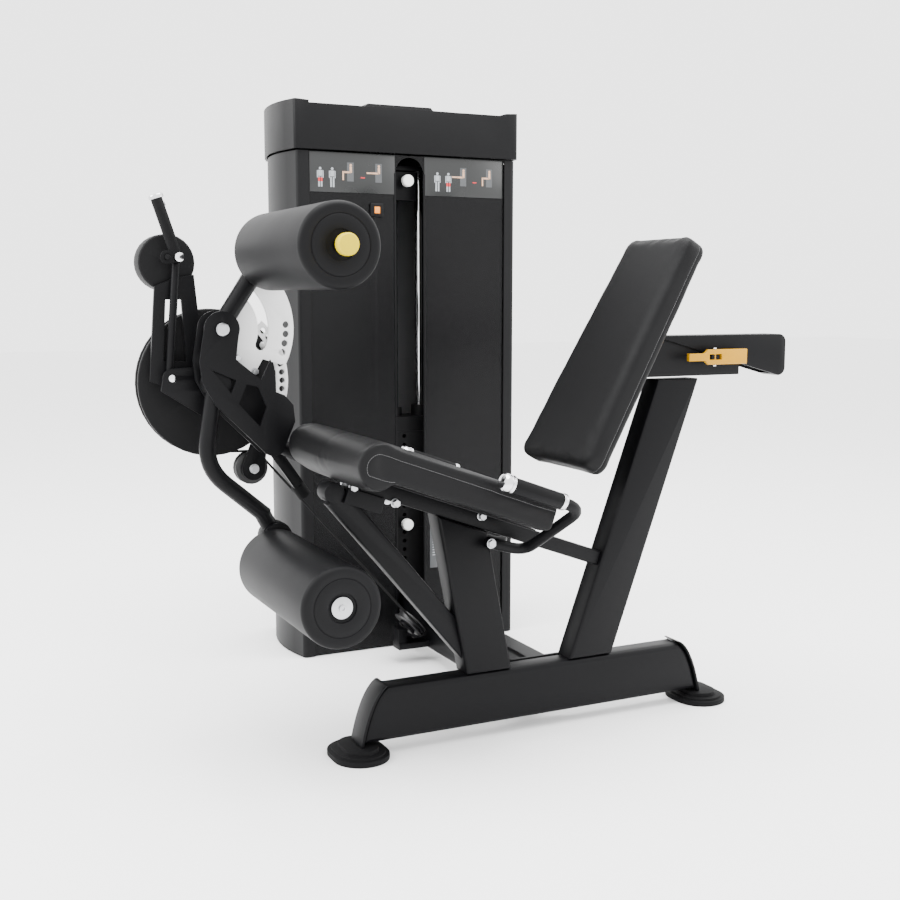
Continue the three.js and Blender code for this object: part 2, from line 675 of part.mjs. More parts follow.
// A foam roller with a recessed disc in its near end and a bore for its axle.
function rollerSolid({ x, z }) {
  const { nearY: y1, farY: y2, radius, round, bore, recess, recessDepth } = roller;
  const soft = round * 0.3;
  return turned(
    [
      [bore, y1 + recessDepth], [recess, y1 + recessDepth], [recess, y1], [radius - round, y1],
      [radius - soft, y1 + soft], [radius, y1 + round],
      [radius, y2 - round], [radius - soft, y2 - soft], [radius - round, y2], [bore, y2],
      [bore, y1 + recessDepth],
    ],
    x, z,
  );
}

function buildUpperArm() {
  const y = upperTube.y;
  const bolt = barY(armPivot.x, armPivot.z, y - 40, y + 40, pivotHole + 0.1, FINE_ROUND);
  const hub = cut(
    barY(armPivot.x, armPivot.z, y - 21, y + 21, upperTube.hub, ROUND),
    bolt,
  );
  const tube = bar(
    [armPivot.x, y, armPivot.z], [upperRoller.x, y, upperRoller.z], upperTube.radius, FINE_ROUND,
  );
  const near = roller.nearY;
  const boss = barY(
    upperRoller.x, upperRoller.z, roller.farY + 4, y + 22, upperTube.boss, FINE_ROUND,
  );
  const axle = cut(
    barY(upperRoller.x, upperRoller.z, near + 10, y, roller.axle),
    barY(upperRoller.x, upperRoller.z, near - 10, near + 60, 5.6, 12),
  );
  add("upper_arm", joined(cut(joined(hub, tube), bolt), boss, axle), blackPaint);
  add("upper_roller", rollerSolid(upperRoller), upholstery);

  const knob = turned(
    [
      [0, near - 42], [19, near - 42], [22, near - 38], [22, near - 22], [12, near - 18],
      [12, near + 2], [5, near + 2], [5, near + 44], [0, near + 44],
    ],
    upperRoller.x, upperRoller.z, 24,
  );
  add("arm_release_knob", knob, yellowKnob);
}

function buildLever() {
  const { x, z } = kneePivot;
  const tube = bentTube(
    [[x, lever.y, z], [lever.bendX, lever.y, lever.bendZ, lever.bend], [lever.endX, lever.y, lever.endZ]],
    lever.radius, FINE_ROUND, 8,
  );
  const hub = barY(x, z, cheek.nearY + cheek.thickness + 1, lever.y + lever.radius, 30, ROUND);
  const shaft = barY(x, z, lever.y, cam.y + cam.thickness + 8, cheek.shaft, ROUND);
  const lowHub = barY(
    swing.x, swing.z, swing.plateY + swing.plateThickness + 1, lever.y + lever.radius, swing.hub, ROUND,
  );
  const neck = bar([lever.endX - 8, lever.y, lever.endZ + 7], [swing.x, lever.y, swing.z], lever.radius);
  const socket = barY(swing.x, swing.z, swing.plateY, swing.pinEnd + 5, swing.pin + 0.6);
  add("leg_lever", cut(joined(tube, hub, shaft, lowHub, neck), socket), blackPaint);
}

function buildLowerRoller() {
  const y1 = swing.plateY;
  const y2 = y1 + swing.plateThickness;
  const shape = new THREE.Shape();
  shape.absarc(swing.x, swing.z, 34, -0.35, Math.PI - 0.05);
  shape.absarc(lowerRoller.x, lowerRoller.z, 26, Math.PI - 0.05, 2 * Math.PI - 0.35);
  const link = joined(
    plate(shape, y1, y2),
    barY(swing.x, swing.z, y1 + 1, swing.pinEnd, swing.pin),
    barY(lowerRoller.x, lowerRoller.z, roller.nearY + 8, y1 + 1, roller.axle),
  );
  add("roller_link", link, blackPaint);
  add("lower_roller", rollerSolid(lowerRoller), upholstery);
}

// ---------------------------------------------------------------- cam, counterweight and release

function buildCam() {
  const y1 = cam.y;
  const y2 = y1 + cam.thickness;
  const middle = (y1 + y2) / 2;
  const disc = turned(
    [
      [0, y1], [cam.radius - 2, y1], [cam.radius, y1 + 2], [cam.radius, middle - cam.grooveHalf],
      [cam.groove, middle - cam.grooveHalf + 3], [cam.groove, middle + cam.grooveHalf - 3],
      [cam.radius, middle + cam.grooveHalf], [cam.radius, y2 - 2], [cam.radius - 2, y2], [0, y2],
    ],
    cam.x, cam.z, 44,
  );
  const bore = barY(kneePivot.x, kneePivot.z, y1 - 5, y2 + 5, cheek.shaft + cheek.clearance, ROUND);
  add("cam_disc", cut(disc, bore), blackPaint);

  const shape = new THREE.Shape();
  const low = THREE.MathUtils.degToRad(-16);
  const high = THREE.MathUtils.degToRad(48);
  shape.absarc(kneePivot.x, kneePivot.z, ring.outer, low, high);
  shape.absarc(kneePivot.x, kneePivot.z, ring.inner, high, low, true);
  for (const degrees of [-7, -0.5, 6, 12.5, 35.5, 42]) {
    hole(shape, ...polar(kneePivot, ring.holes, degrees), ring.holeRadius);
  }
  const boss = (degrees) => {
    const [x, z] = polar(kneePivot, ring.holes, degrees);
    return barY(x, z, ring.y + 2, cam.y - GAP, 9);
  };
  const quadrant = joined(plate(shape, ring.y, ring.y + ring.thickness), boss(20), boss(27));
  add("lever_lock_ring", quadrant, greyPaint);
}

function buildCounterweight() {
  const y1 = counter.armY;
  const y2 = y1 + counter.armThickness;
  const shape = outline(
    [-806, 806], [-790, 1020], [-745, 1038], [-700, 1046], [-690, 940], [-650, 832],
    [-650, 786], [-682, 762], [-720, 775],
  );
  const window = outline([-774, 850], [-722, 850], [-730, 990], [-766, 990]);
  add(
    "counterweight_arm",
    cut(
      plate(shape, y1, y2),
      plate(window, y1 - 5, y2 + 5),
      barY(kneePivot.x, kneePivot.z, y1 - 5, y2 + 5, cheek.shaft + cheek.clearance, ROUND),
    ),
    blackPaint,
  );

  const disc = turned(
    [
      [0, counter.y], [counter.radius - 3, counter.y], [counter.radius, counter.y + 3],
      [counter.radius, counter.y + counter.thickness - 3], [counter.radius - 3, counter.y + counter.thickness],
      [0, counter.y + counter.thickness],
    ],
    counter.x, counter.z, 28,
  );
  const pin = barY(handGrip.pivotX, linkRod.topZ, handGrip.tabY - 6, counter.y + 4, handGrip.pivot);
  add("counterweight", joined(disc, pin), castIron);
}

// The hand lever's tab turns on the counterweight's pin and pushes the link rod down.
function buildRelease() {
  const pivot = { x: handGrip.pivotX, z: linkRod.topZ };
  const top = { x: linkRod.topX, z: linkRod.topZ };
  const tab = new THREE.Shape();
  tab.absarc(top.x, top.z, 11, -Math.PI / 2, Math.PI / 2);
  tab.absarc(pivot.x, pivot.z, 15, Math.PI / 2, 1.5 * Math.PI);
  const tabEnd = handGrip.tabY + 7;
  const stick = bar(
    [top.x - 3, handGrip.y, top.z + 6], [handGrip.topX, handGrip.y, handGrip.topZ], handGrip.radius,
  );
  const rodSpace = barY(top.x, top.z, tabEnd, 400, linkRod.eye + 5, FINE_ROUND);
  const pivotHole = barY(pivot.x, pivot.z, 300, 420, handGrip.pivot + 0.5);
  const lip = barY(top.x, top.z, handGrip.tabY + 1, linkRod.y + linkRod.half + 3, 5);
  const stickCut = cut(stick, rodSpace);
  const leverSolid = joined(cut(joined(plate(tab, handGrip.tabY, tabEnd), stickCut), pivotHole), lip);
  add("hand_lever", leverSolid, blackPaint);

  const clearance = 1.3;
  const y1 = linkRod.y - linkRod.half;
  const y2 = linkRod.y + linkRod.half;
  const low = { x: crank.pinX, z: crank.pinZ };
  const rodSolid = joined(
    bar([top.x - 2, linkRod.y, top.z - 12], [low.x + 1, linkRod.y, low.z + 13], linkRod.radius),
    barY(top.x, top.z, y1, y2, linkRod.eye),
    barY(low.x, low.z, y1, y2, linkRod.lowEye),
  );
  const bores = joined(
    barY(top.x, top.z, y1 - 20, y2 + 20, 5 + clearance),
    barY(low.x, low.z, y1 - 20, y2 + 20, crank.pin + clearance),
  );
  add("release_link", cut(rodSolid, bores), blackPaint);

  const shape = new THREE.Shape();
  shape.moveTo(-700, 728);
  shape.lineTo(-664, 762);
  shape.absarc(kneePivot.x, kneePivot.z, 34, -0.5, Math.PI / 2 + 0.2);
  shape.lineTo(-762, 836);
  shape.absarc(low.x, low.z, 20, Math.PI / 2, Math.PI);
  shape.lineTo(-790, 786);
  hole(shape, kneePivot.x, kneePivot.z, cheek.shaft + cheek.clearance);
  const crankSolid = joined(
    plate(shape, crank.y, crank.y + crank.thickness),
    barY(low.x, low.z, crank.y - 6, y2 + 4, crank.pin),
  );
  add("release_crank", crankSolid, blackPaint);
}

// ---------------------------------------------------------------- pulleys and cable

function pulleySolid(size) {
  const half = size.thickness / 2;
  return turned(
    [
      [8.6, -half], [size.radius, -half], [size.radius, -half + 3], [size.groove, -4.5], [size.groove, 4.5],
      [size.radius, half - 3], [size.radius, half], [8.6, half], [8.6, -half],
    ],
    0, 0, 20,
  );
}

// A pulley that turns a cable round a corner of its route, on the inside of the bend.
function bendAt(before, corner, after, size) {
  const at = new THREE.Vector3(...corner);
  const incoming = at.clone().sub(new THREE.Vector3(...before)).normalize();
  const outgoing = new THREE.Vector3(...after).sub(at).normalize();
  const half = incoming.angleTo(outgoing) / 2;
  const radius = size.groove + cable.nest;
  const inward = outgoing.clone().sub(incoming).setLength(radius / Math.cos(half));
  return {
    centre: at.add(inward),
    axis: incoming.cross(outgoing).normalize(),
    reach: radius * Math.tan(half),
  };
}

// The corners of the cable's route, from the cam to the selector head.
const route = {
  cam: [cam.x, idler.y, cam.z - cam.groove - cable.nest],
  idler: [idler.x + 17, idler.y, idler.z + idler.groove + cable.nest + 1],
  base: [cable.x, 552, 77],
  low: [cable.x, cable.riseY, 48],
  rise: [cable.x, cable.riseY, topPulley.z + 49],
  drop: [0, rod.y, topPulley.z + 49],
};
const topSpan = Math.hypot(cable.x, cable.riseY - rod.y) / 2;
const topGroove = { ...topPulley, groove: topSpan - cable.nest };
const baseBend = bendAt(route.idler, route.base, route.low, basePulley);
const lowBend = bendAt(route.base, route.low, route.rise, lowPulley);
const topCentre = new THREE.Vector3(cable.x / 2, (cable.riseY + rod.y) / 2, topPulley.z);
const topAxis = new THREE.Vector3(cable.riseY - rod.y, -cable.x, 0).normalize();

function placePulley(name, size, centre, axis) {
  const mesh = add(name, pulleySolid(size), steel);
  mesh.quaternion.setFromUnitVectors(new THREE.Vector3(0, 1, 0), axis);
  mesh.position.copy(centre);
}

function buildPulleys() {
  const idlerCentre = new THREE.Vector3(idler.x, idler.y, idler.z);
  placePulley("idler_pulley", idler, idlerCentre, new THREE.Vector3(0, 1, 0));
  placePulley("base_pulley", basePulley, baseBend.centre, baseBend.axis);
  placePulley("tower_low_pulley", lowPulley, lowBend.centre, lowBend.axis);
  placePulley("tower_top_pulley", topGroove, topCentre, topAxis);

  const cheekShape = new THREE.Shape();
  cheekShape.absarc(idler.x, idler.z, 28, Math.PI * 0.95, Math.PI * 1.95);
  cheekShape.absarc(idlerBoss.x, idlerBoss.z, idlerBoss.cheek, -0.1, Math.PI * 0.8);
  const y2 = cam.y - 1.5;
  const idlerBracket = joined(
    plate(cheekShape, y2 - 7, y2),
    barY(idler.x, idler.z, y2 - 12, idler.y + idler.thickness / 2 + 4, 8),
    barY(
      idlerBoss.x, idlerBoss.z, cheek.farY + cheek.thickness + GAP, y2 - 2, idlerBoss.radius,
    ),
  );
  add("idler_bracket", idlerBracket, blackPaint);
}

// The base pulley turns on a pin that is welded to a lug beside the spine.
function basePulleyBracket() {
  const { centre, axis } = baseBend;
  const half = basePulley.thickness / 2;
  const along = (distance) => centre.clone().addScaledVector(axis, distance).toArray();
  const wall = spine.x - spine.halfWidth + 4;
  const lug = joined(
    bar(along(-half - 9), along(-half - 2), 26),
    box(-112, wall, centre.y - 22, centre.y + 22, 40, 56),
    box(-112, -88, centre.y - 18, centre.y + 18, 50, 96),
  );
  const clear = bar(along(-half - 1), along(half + 60), basePulley.radius + 2, 24);
  return joined(cut(lug, clear), bar(along(-half - 12), along(half + 6), 8));
}

function buildCable() {
  const run = bentTube(
    [
      route.cam,
      [...route.idler, 19],
      [...route.base, baseBend.reach],
      [...route.low, lowBend.reach],
      [...route.rise, topSpan],
      [...route.drop, topSpan],
      [0, rod.y, topPulley.z - 2],
    ],
    cable.radius, 8, 4,
  );
  add("drive_cable", run, rubber);
  const headTop = stack.bottom + stack.count * stack.pitch + headPlate.height;
  const drop = barZ(
    0, rod.y, headTop + stem.above + GAP * 2, topPulley.z - 2 - GAP, cable.radius, 8,
  );
  add("drive_cable_drop", drop, rubber);
}

// ---------------------------------------------------------------- weight tower

function shroudOutline(side, inset = 0) {
  const { halfWidth, rearHalf, frontY, depth, corner, bulge, post } = tower;
  const x = (value) => side * value;
  const rearY = frontY + depth;
  const shape = new THREE.Shape();
  const out = halfWidth - inset;
  const outRear = rearHalf - inset;
  shape.moveTo(x(halfWidth - post), frontY + inset);
  shape.lineTo(x(out - corner), frontY + inset);
  shape.quadraticCurveTo(x(out), frontY + inset, x(out), frontY + inset + corner);
  shape.quadraticCurveTo(x(outRear + bulge), frontY + depth / 2, x(outRear), rearY - inset - corner);
  shape.quadraticCurveTo(x(outRear), rearY - inset, x(outRear - corner), rearY - inset);
  shape.lineTo(x(rearHalf - post), rearY - inset);
  shape.lineTo(x(rearHalf - post), frontY + depth / 2);
  shape.lineTo(x(halfWidth - post), frontY + depth / 2);
  return shape;
}

function buildShrouds() {
  for (const [name, side] of [["left", -1], ["right", 1]]) {
    const outer = prism(shroudOutline(side), 2, tower.top);
    const inner = prism(shroudOutline(side, tower.wall), -10, tower.top + 10);
    add(`tower_shroud_${name}`, cut(outer, inner), shroudPlastic);

    const edge = tower.halfWidth - tower.post - GAP;
    const y1 = tower.frontY + tower.panelRecess;
    const radius = tower.slotHalf;
    const springing = tower.slotTop - radius;
    const shape = new THREE.Shape();
    shape.moveTo(side * edge, 2);
    shape.lineTo(side * radius, 2);
    shape.lineTo(side * radius, springing);
    const steps = 7;
    for (let i = 1; i <= steps; i++) {
      const angle = (i / steps) * (Math.PI / 2 - 0.01);
      shape.lineTo(side * radius * Math.cos(angle), springing + radius * Math.sin(angle));
    }
    shape.lineTo(side * GAP, tower.top);
    shape.lineTo(side * edge, tower.top);
    add(`front_panel_${name}`, plate(shape, y1, y1 + tower.panel), tintedPanel);
  }
  const rearEdge = tower.rearHalf - tower.post - GAP;
  const rearY = tower.frontY + tower.depth;
  add("rear_panel", box(-rearEdge, rearEdge, rearY - 10, rearY - 6, 2, tower.top), shroudPlastic);
}

function capPlan(grow) {
  const { halfWidth, rearHalf, frontY, depth, corner, bulge } = tower;
  const out = halfWidth + grow;
  const outRear = rearHalf + grow;
  const front = frontY - grow;
  const rear = frontY + depth + grow;
  const shape = new THREE.Shape();
  shape.moveTo(-out + corner, front);
  shape.lineTo(out - corner, front);
  shape.quadraticCurveTo(out, front, out, front + corner);
  shape.quadraticCurveTo(outRear + bulge, (front + rear) / 2, outRear, rear - corner);
  shape.quadraticCurveTo(outRear, rear, outRear - corner, rear);
  shape.lineTo(-outRear + corner, rear);
  shape.quadraticCurveTo(-outRear, rear, -outRear, rear - corner);
  shape.quadraticCurveTo(-outRear - bulge, (front + rear) / 2, -out, front + corner);
  shape.quadraticCurveTo(-out, front, -out + corner, front);
  return shape;
}

function buildCap() {
  const shell = cut(
    prism(capPlan(cap.overhang), cap.bottom, cap.top + cap.humpHeight),
    prism(capPlan(cap.overhang - cap.wall), cap.bottom - 5, cap.top - cap.dip - cap.wall - 4),
  );
  const reach = tower.halfWidth + 80;
  const above = new THREE.Shape();
  above.moveTo(-reach, cap.top);
  above.quadraticCurveTo(-reach * 0.45, cap.top - cap.dip * 1.2, -cap.humpHalf - 20, cap.top - cap.dip);
  above.lineTo(-cap.humpHalf, cap.top + cap.humpHeight - 8);
  above.lineTo(cap.humpHalf, cap.top + cap.humpHeight - 8);
  above.lineTo(cap.humpHalf + 20, cap.top - cap.dip);
  above.quadraticCurveTo(reach * 0.45, cap.top - cap.dip * 1.2, reach, cap.top);
  above.lineTo(reach, cap.top + 60);
  above.lineTo(-reach, cap.top + 60);
  const front = tower.frontY - 60;
  const rear = tower.frontY + tower.depth + 60;
  const ledge = box(-reach, reach, front, tower.frontY + 70, cap.top - cap.dip, cap.top + 60);
  const keepEnds = joined(
    box(-reach, tower.post - tower.halfWidth, front, rear, cap.bottom, cap.top),
    box(tower.halfWidth - tower.post, reach, front, rear, cap.bottom, cap.top),
  );
  add("tower_cap", cut(shell, plate(above, front, rear), cut(ledge, keepEnds)), shroudPlastic);
}

function buildTowerFrame() {
  const { inset, margin, thickness: sheet } = basePlate;
  const plateX = tower.rearHalf - tower.post - inset;
  const base = joined(
    box(-plateX, plateX, tower.frontY + margin, tower.frontY + tower.depth - margin, 0, sheet),
    box(
      spine.x - upstand.halfWidth, spine.x + upstand.halfWidth,
      upstand.y, upstand.y + upstand.thickness, sheet / 2, upstand.top,
    ),
  );
  const cableGate = box(
    cable.x - 10, cable.x + 10, upstand.y - 5, upstand.y + 2 * upstand.thickness, sheet + 0.5, 90,
  );
  add("tower_base", joined(cut(base, cableGate), lowPulleyBracket()), blackPaint);

  const { bottom, thickness, halfWidth, frontY, rearY } = crossmember;
  const top = bottom + thickness;
  const deck = cut(
    box(-halfWidth, halfWidth, frontY, rearY, bottom, top),
    barZ(0, rod.y, bottom - 5, top + 5, 8),
    barZ(cable.x, cable.riseY, bottom - 5, top + 5, 8),
  );
  const half = topPulley.thickness / 2;
  const along = (distance) => topCentre.clone().addScaledVector(topAxis, distance).toArray();
  const ears = [-1, 1].map((side) => joined(
    bar(along(side * (half + 2)), along(side * (half + 7)), 24),
    box(
      along(side * (half + 4.5))[0] - 5, along(side * (half + 4.5))[0] + 5,
      along(side * (half + 4.5))[1] - 14, along(side * (half + 4.5))[1] + 14,
      top - 1, topPulley.z,
    ),
  ));
  const clear = bar(along(-half - 1), along(half + 1), topPulley.radius + 3, 24);
  const pin = bar(along(-half - 7), along(half + 7), 8);
  add("tower_crossmember", joined(deck, cut(joined(...ears), clear), pin), blackPaint);

  for (const [name, side] of [["left", -1], ["right", 1]]) {
    add(`guide_rod_${name}`, barZ(side * rod.x, rod.y, rod.bottom, rod.top, rod.radius, 20), chrome);
  }
}

function lowPulleyBracket() {
  const half = lowPulley.thickness / 2;
  const { x, y, z } = lowBend.centre;
  const ear = (side) => box(x + side * (half + 4) - 2.5, x + side * (half + 4) + 2.5, y - 16, y + 16, 11, z + 14);
  return joined(ear(-1), ear(1), bar([x - half - 6, y, z], [x + half + 6, y, z], 8));
}

// A block of plates with a groove between each two, bored for the rods and the selector stem.
function plateBlock(first, count) {
  const z1 = stack.bottom + first * stack.pitch;
  const z2 = z1 + count * stack.pitch - GAP;
  const shape = new THREE.Shape();
  const nick = 0.8;
  const half = stack.halfWidth;
  shape.moveTo(-half, z1);
  shape.lineTo(half, z1);
  for (let i = 1; i < count; i++) {
    const z = z1 + i * stack.pitch;
    shape.lineTo(half, z - nick);
    shape.lineTo(half - 1.5, z);
    shape.lineTo(half, z + nick);
  }
  shape.lineTo(half, z2);
  shape.lineTo(-half, z2);
  for (let i = count - 1; i > 0; i--) {
    const z = z1 + i * stack.pitch;
    shape.lineTo(-half, z + nick);
    shape.lineTo(-half + 1.5, z);
    shape.lineTo(-half, z - nick);
  }
  const bores = [-rod.x, rod.x].map((x) => barZ(x, rod.y, z1 - 5, z2 + 5, rod.radius + 1.5, 20));
  bores.push(barZ(0, rod.y, z1 - 5, z2 + 5, stem.hole, 20));
  for (let i = 0; i < count; i++) {
    const z = z1 + (i + 0.5) * stack.pitch;
    bores.push(barY(0, z, stack.frontY - 5, rod.y, stem.pinHole, 10));
  }
  return cut(plate(shape, stack.frontY, stack.frontY + stack.depth), ...bores);
}

function buildStack() {
  const resting = stack.resting;
  add("weight_plates_resting", plateBlock(0, resting), castIron);
  add("weight_plates_selected", plateBlock(resting, stack.count - resting), castIron);

  const headBottom = stack.bottom + stack.count * stack.pitch + GAP;
  const headTop = headBottom + headPlate.height;
  const y1 = stack.frontY;
  const y2 = y1 + stack.depth;
  const stemSolid = barZ(0, rod.y, stack.bottom + 4, headTop + stem.above, stem.radius, 20);
  const block = joined(
    box(-stack.halfWidth, stack.halfWidth, y1, y2, headBottom, headTop),
    barZ(-rod.x, rod.y, headTop - 1, headTop + 30, 24, 20),
    barZ(rod.x, rod.y, headTop - 1, headTop + 30, 24, 20),
  );
  const bores = [-rod.x, rod.x].map((x) => barZ(x, rod.y, headBottom - 5, headTop + 40, rod.radius + 1.5, 20));
  const pinZ = stack.bottom + (resting + 0.5) * stack.pitch;
  const pinHole = barY(0, pinZ, rod.y - 30, rod.y + 30, stem.pinHole, 10);
  add("selector_head", cut(joined(block, stemSolid), ...bores, pinHole), castIron);

  const front = stack.frontY - 6;
  const knobFace = front - stem.knobLength;
  const pin = turned(
    [
      [0, knobFace], [stem.knob - 3, knobFace], [stem.knob, knobFace + 3],
      [stem.knob, front - 5], [9, front], [stem.pin, front], [stem.pin, front + stem.pinLength],
      [0, front + stem.pinLength],
    ],
    0, pinZ, 24,
  );
  add("selector_pin", pin, whitePlastic);

  const floor = basePlate.thickness + GAP;
  const post = (x) => barZ(x, rod.y, floor, stack.bottom - GAP, 20, 20);
  const bore = (x) => barZ(x, rod.y, 0, stack.bottom + 5, rod.radius + GAP, 20);
  const tie = box(-rod.x, rod.x, rod.y - 22, rod.y - 6, floor, 26);
  add(
    "stack_buffer",
    cut(joined(post(-rod.x), post(rod.x), tie), bore(-rod.x), bore(rod.x)),
    rubber,
  );

  const { bottom, top, halfWidth, y, depth, knobZ } = increment;
  const carrier = cut(
    box(-halfWidth, halfWidth, y, y + depth, bottom, top),
    barY(0, knobZ, y - 5, y + depth - 8, 6, 12),
  );
  const hanger = box(
    -halfWidth, halfWidth, y + depth - 6, crossmember.frontY + 40, top - 2, crossmember.bottom - GAP,
  );
  add("increment_carrier", joined(carrier, hanger), castIron);
  const knob = turned(
    [
      [0, y - 34], [stem.knob - 3, y - 34], [stem.knob, y - 31], [stem.knob, y - 17], [8, y - 12],
      [8, y - 0.5], [5, y - 0.5], [5, y + 14], [0, y + 14],
    ],
    0, knobZ, 24,
  );
  add("increment_knob", knob, whitePlastic);
}

// ---------------------------------------------------------------- assembly

buildBase();
buildFrame();
buildSeat();
buildBackrest();
buildPaddle();
buildCheeks();
buildSector();
buildStop();
buildUpperArm();
buildLever();
buildLowerRoller();
buildCam();
buildCounterweight();
buildRelease();
buildPulleys();
buildCable();
buildShrouds();
buildCap();
buildTowerFrame();
buildStack();

// The part's origin is the middle of its footprint, on the floor.
machine.updateMatrixWorld(true);
const extent = new THREE.Box3().setFromObject(machine, true);
machine.position.set(-(extent.min.x + extent.max.x) / 2, -(extent.min.y + extent.max.y) / 2, -extent.min.z);
machine.updateMatrixWorld(true);

export default machine;
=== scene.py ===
"""Visual model of a seated leg extension and leg curl machine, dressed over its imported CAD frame."""

import json
import logging
import math
from dataclasses import dataclass, field
from enum import Enum

import bpy
from mathutils import Matrix, Vector
from mathutils.kdtree import KDTree


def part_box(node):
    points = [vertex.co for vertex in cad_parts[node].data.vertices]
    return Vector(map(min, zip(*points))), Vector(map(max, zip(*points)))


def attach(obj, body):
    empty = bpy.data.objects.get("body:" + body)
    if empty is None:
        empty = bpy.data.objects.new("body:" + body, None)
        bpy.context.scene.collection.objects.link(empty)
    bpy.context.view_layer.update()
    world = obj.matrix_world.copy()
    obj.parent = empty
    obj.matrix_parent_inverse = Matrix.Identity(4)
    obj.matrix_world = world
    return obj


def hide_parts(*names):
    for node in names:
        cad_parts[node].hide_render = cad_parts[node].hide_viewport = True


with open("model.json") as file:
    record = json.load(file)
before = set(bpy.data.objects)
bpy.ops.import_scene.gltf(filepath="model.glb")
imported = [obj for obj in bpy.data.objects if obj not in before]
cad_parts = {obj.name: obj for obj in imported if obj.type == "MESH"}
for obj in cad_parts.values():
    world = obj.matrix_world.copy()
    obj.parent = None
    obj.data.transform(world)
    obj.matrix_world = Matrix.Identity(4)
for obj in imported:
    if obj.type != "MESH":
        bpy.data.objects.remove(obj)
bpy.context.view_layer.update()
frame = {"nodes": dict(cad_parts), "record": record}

LOG = logging.getLogger("leg_machine")
MM = 0.001
# A Mix node repeats its sockets for each kind of value; these are its colour ones.
MIX_FIRST = 6
MIX_SECOND = 7
MIX_RESULT = 2
Piece = bpy.types.Object
Point = tuple[float, float, float]


# ---------------------------------------------------------------- finishes


class Pattern(Enum):
    """How a surface was made, which sets the small relief that the eye sees on it."""

    POWDER = "baked powder with a fine orange peel"
    HIDE = "embossed vinyl with closed pebbles"
    SKIN = "moulded surface with a fine even grain"
    BRUSHED = "ground along one direction"
    CAST = "sand cast and painted"
    POLISHED = "plated and buffed"


def linear(colour: str) -> tuple[float, float, float, float]:
    """Turn an sRGB hex colour into linear light.

    Args:
        colour: a hex colour such as "#2b2b2b".

    Returns:
        Linear red, green and blue, and an alpha of 1.
    """
    parts = [int(colour[i:i + 2], 16) / 255 for i in (1, 3, 5)]
    light = [p / 12.92 if p <= 0.04045 else ((p + 0.055) / 1.055) ** 2.4 for p in parts]
    return (light[0], light[1], light[2], 1.0)


def add_node(tree: bpy.types.NodeTree, kind: str, inputs: dict | None = None, **settings) -> bpy.types.Node:
    """Add one node with its settings, values and links.

    Args:
        tree: the node tree that gets the node.
        kind: the node's type.
        inputs: socket name or number to a value, or to the output socket that feeds it.
        settings: properties of the node itself.

    Returns:
        The new node.
    """
    made = tree.nodes.new(kind)
    for key, value in settings.items():
        setattr(made, key, value)
    for socket, value in (inputs or {}).items():
        if isinstance(value, bpy.types.NodeSocket):
            tree.links.new(value, made.inputs[socket])
        else:
            made.inputs[socket].default_value = value
    return made


@dataclass(frozen=True)
class Finish:
    """One finish: its colours, its gloss and the relief left by how it was made."""

    name: str
    colour: str
    patches: str
    roughness: float
    pattern: Pattern
    metallic: float = 0.0
    specular: float = 0.5
    coat: float = 0.0
    alpha: float = 1.0
    grain_mm: float = 1.5
    relief_mm: float = 0.05
    patch_mm: float = 160.0
    uneven: float = 0.05

    def relief(self, tree: bpy.types.NodeTree, place: bpy.types.NodeSocket) -> bpy.types.NodeSocket:
        """Draw the small relief of this finish.

        Args:
            tree: the material's node tree.
            place: the socket that gives the point on the piece, in metres.

        Returns:
            The socket that gives the height, from 0 to 1.
        """
        scale = 1 / (self.grain_mm * MM)
        if self.pattern is Pattern.HIDE:
            cells = add_node(
                tree, "ShaderNodeTexVoronoi", {"Vector": place, "Scale": scale},
                feature="DISTANCE_TO_EDGE",
            )
            return add_node(
                tree, "ShaderNodeMapRange",
                {"Value": cells.outputs["Distance"], "From Min": 0.0, "From Max": 0.25},
                interpolation_type="SMOOTHSTEP",
            ).outputs["Result"]
        if self.pattern is Pattern.BRUSHED:
            along = add_node(tree, "ShaderNodeMapping", {"Vector": place, "Scale": (1.0, 1.0, 0.04)})
            place = along.outputs["Vector"]
        rough = 6.0 if self.pattern is Pattern.CAST else 2.0
        return add_node(
            tree, "ShaderNodeTexNoise", {"Vector": place, "Scale": scale, "Detail": rough, "Roughness": 0.55},
        ).outputs["Fac"]

    def build(self) -> bpy.types.Material:
        """Build the material: patchy colour, uneven gloss and the small relief.

        Returns:
            The new material.
        """
        material = bpy.data.materials.new(self.name)
        material.use_nodes = True
        tree = material.node_tree
        shader = tree.nodes["Principled BSDF"]
        place = add_node(tree, "ShaderNodeTexCoord").outputs["Object"]
        cloud = add_node(
            tree, "ShaderNodeTexNoise", {"Vector": place, "Scale": 1 / (self.patch_mm * MM), "Detail": 3.0},
        ).outputs["Fac"]
        mix = add_node(
            tree, "ShaderNodeMix",
            {"Factor": cloud, MIX_FIRST: linear(self.colour), MIX_SECOND: linear(self.patches)},
            data_type="RGBA",
        )
        tree.links.new(mix.outputs[MIX_RESULT], shader.inputs["Base Color"])
        gloss = add_node(
            tree, "ShaderNodeMapRange",
            {"Value": cloud, "To Min": self.roughness - self.uneven, "To Max": self.roughness + self.uneven},
        )
        tree.links.new(gloss.outputs["Result"], shader.inputs["Roughness"])
        bump = add_node(
            tree, "ShaderNodeBump",
            {"Strength": 0.6, "Distance": self.relief_mm * MM, "Height": self.relief(tree, place)},
        )
        tree.links.new(bump.outputs["Normal"], shader.inputs["Normal"])
        shader.inputs["Metallic"].default_value = self.metallic
        if self.metallic == 0:
            shader.inputs["Specular IOR Level"].default_value = self.specular
        shader.inputs["Coat Weight"].default_value = self.coat
        shader.inputs["Coat Roughness"].default_value = 0.15
        shader.inputs["Alpha"].default_value = self.alpha
        return material


# Epoxy powder coat: an even satin black with a very fine orange peel.
BLACK_POWDER = Finish(
    "black_powder_coat", "#060607", "#08080a", 0.44, Pattern.POWDER, specular=0.1, grain_mm=1.6,
    relief_mm=0.03,
)
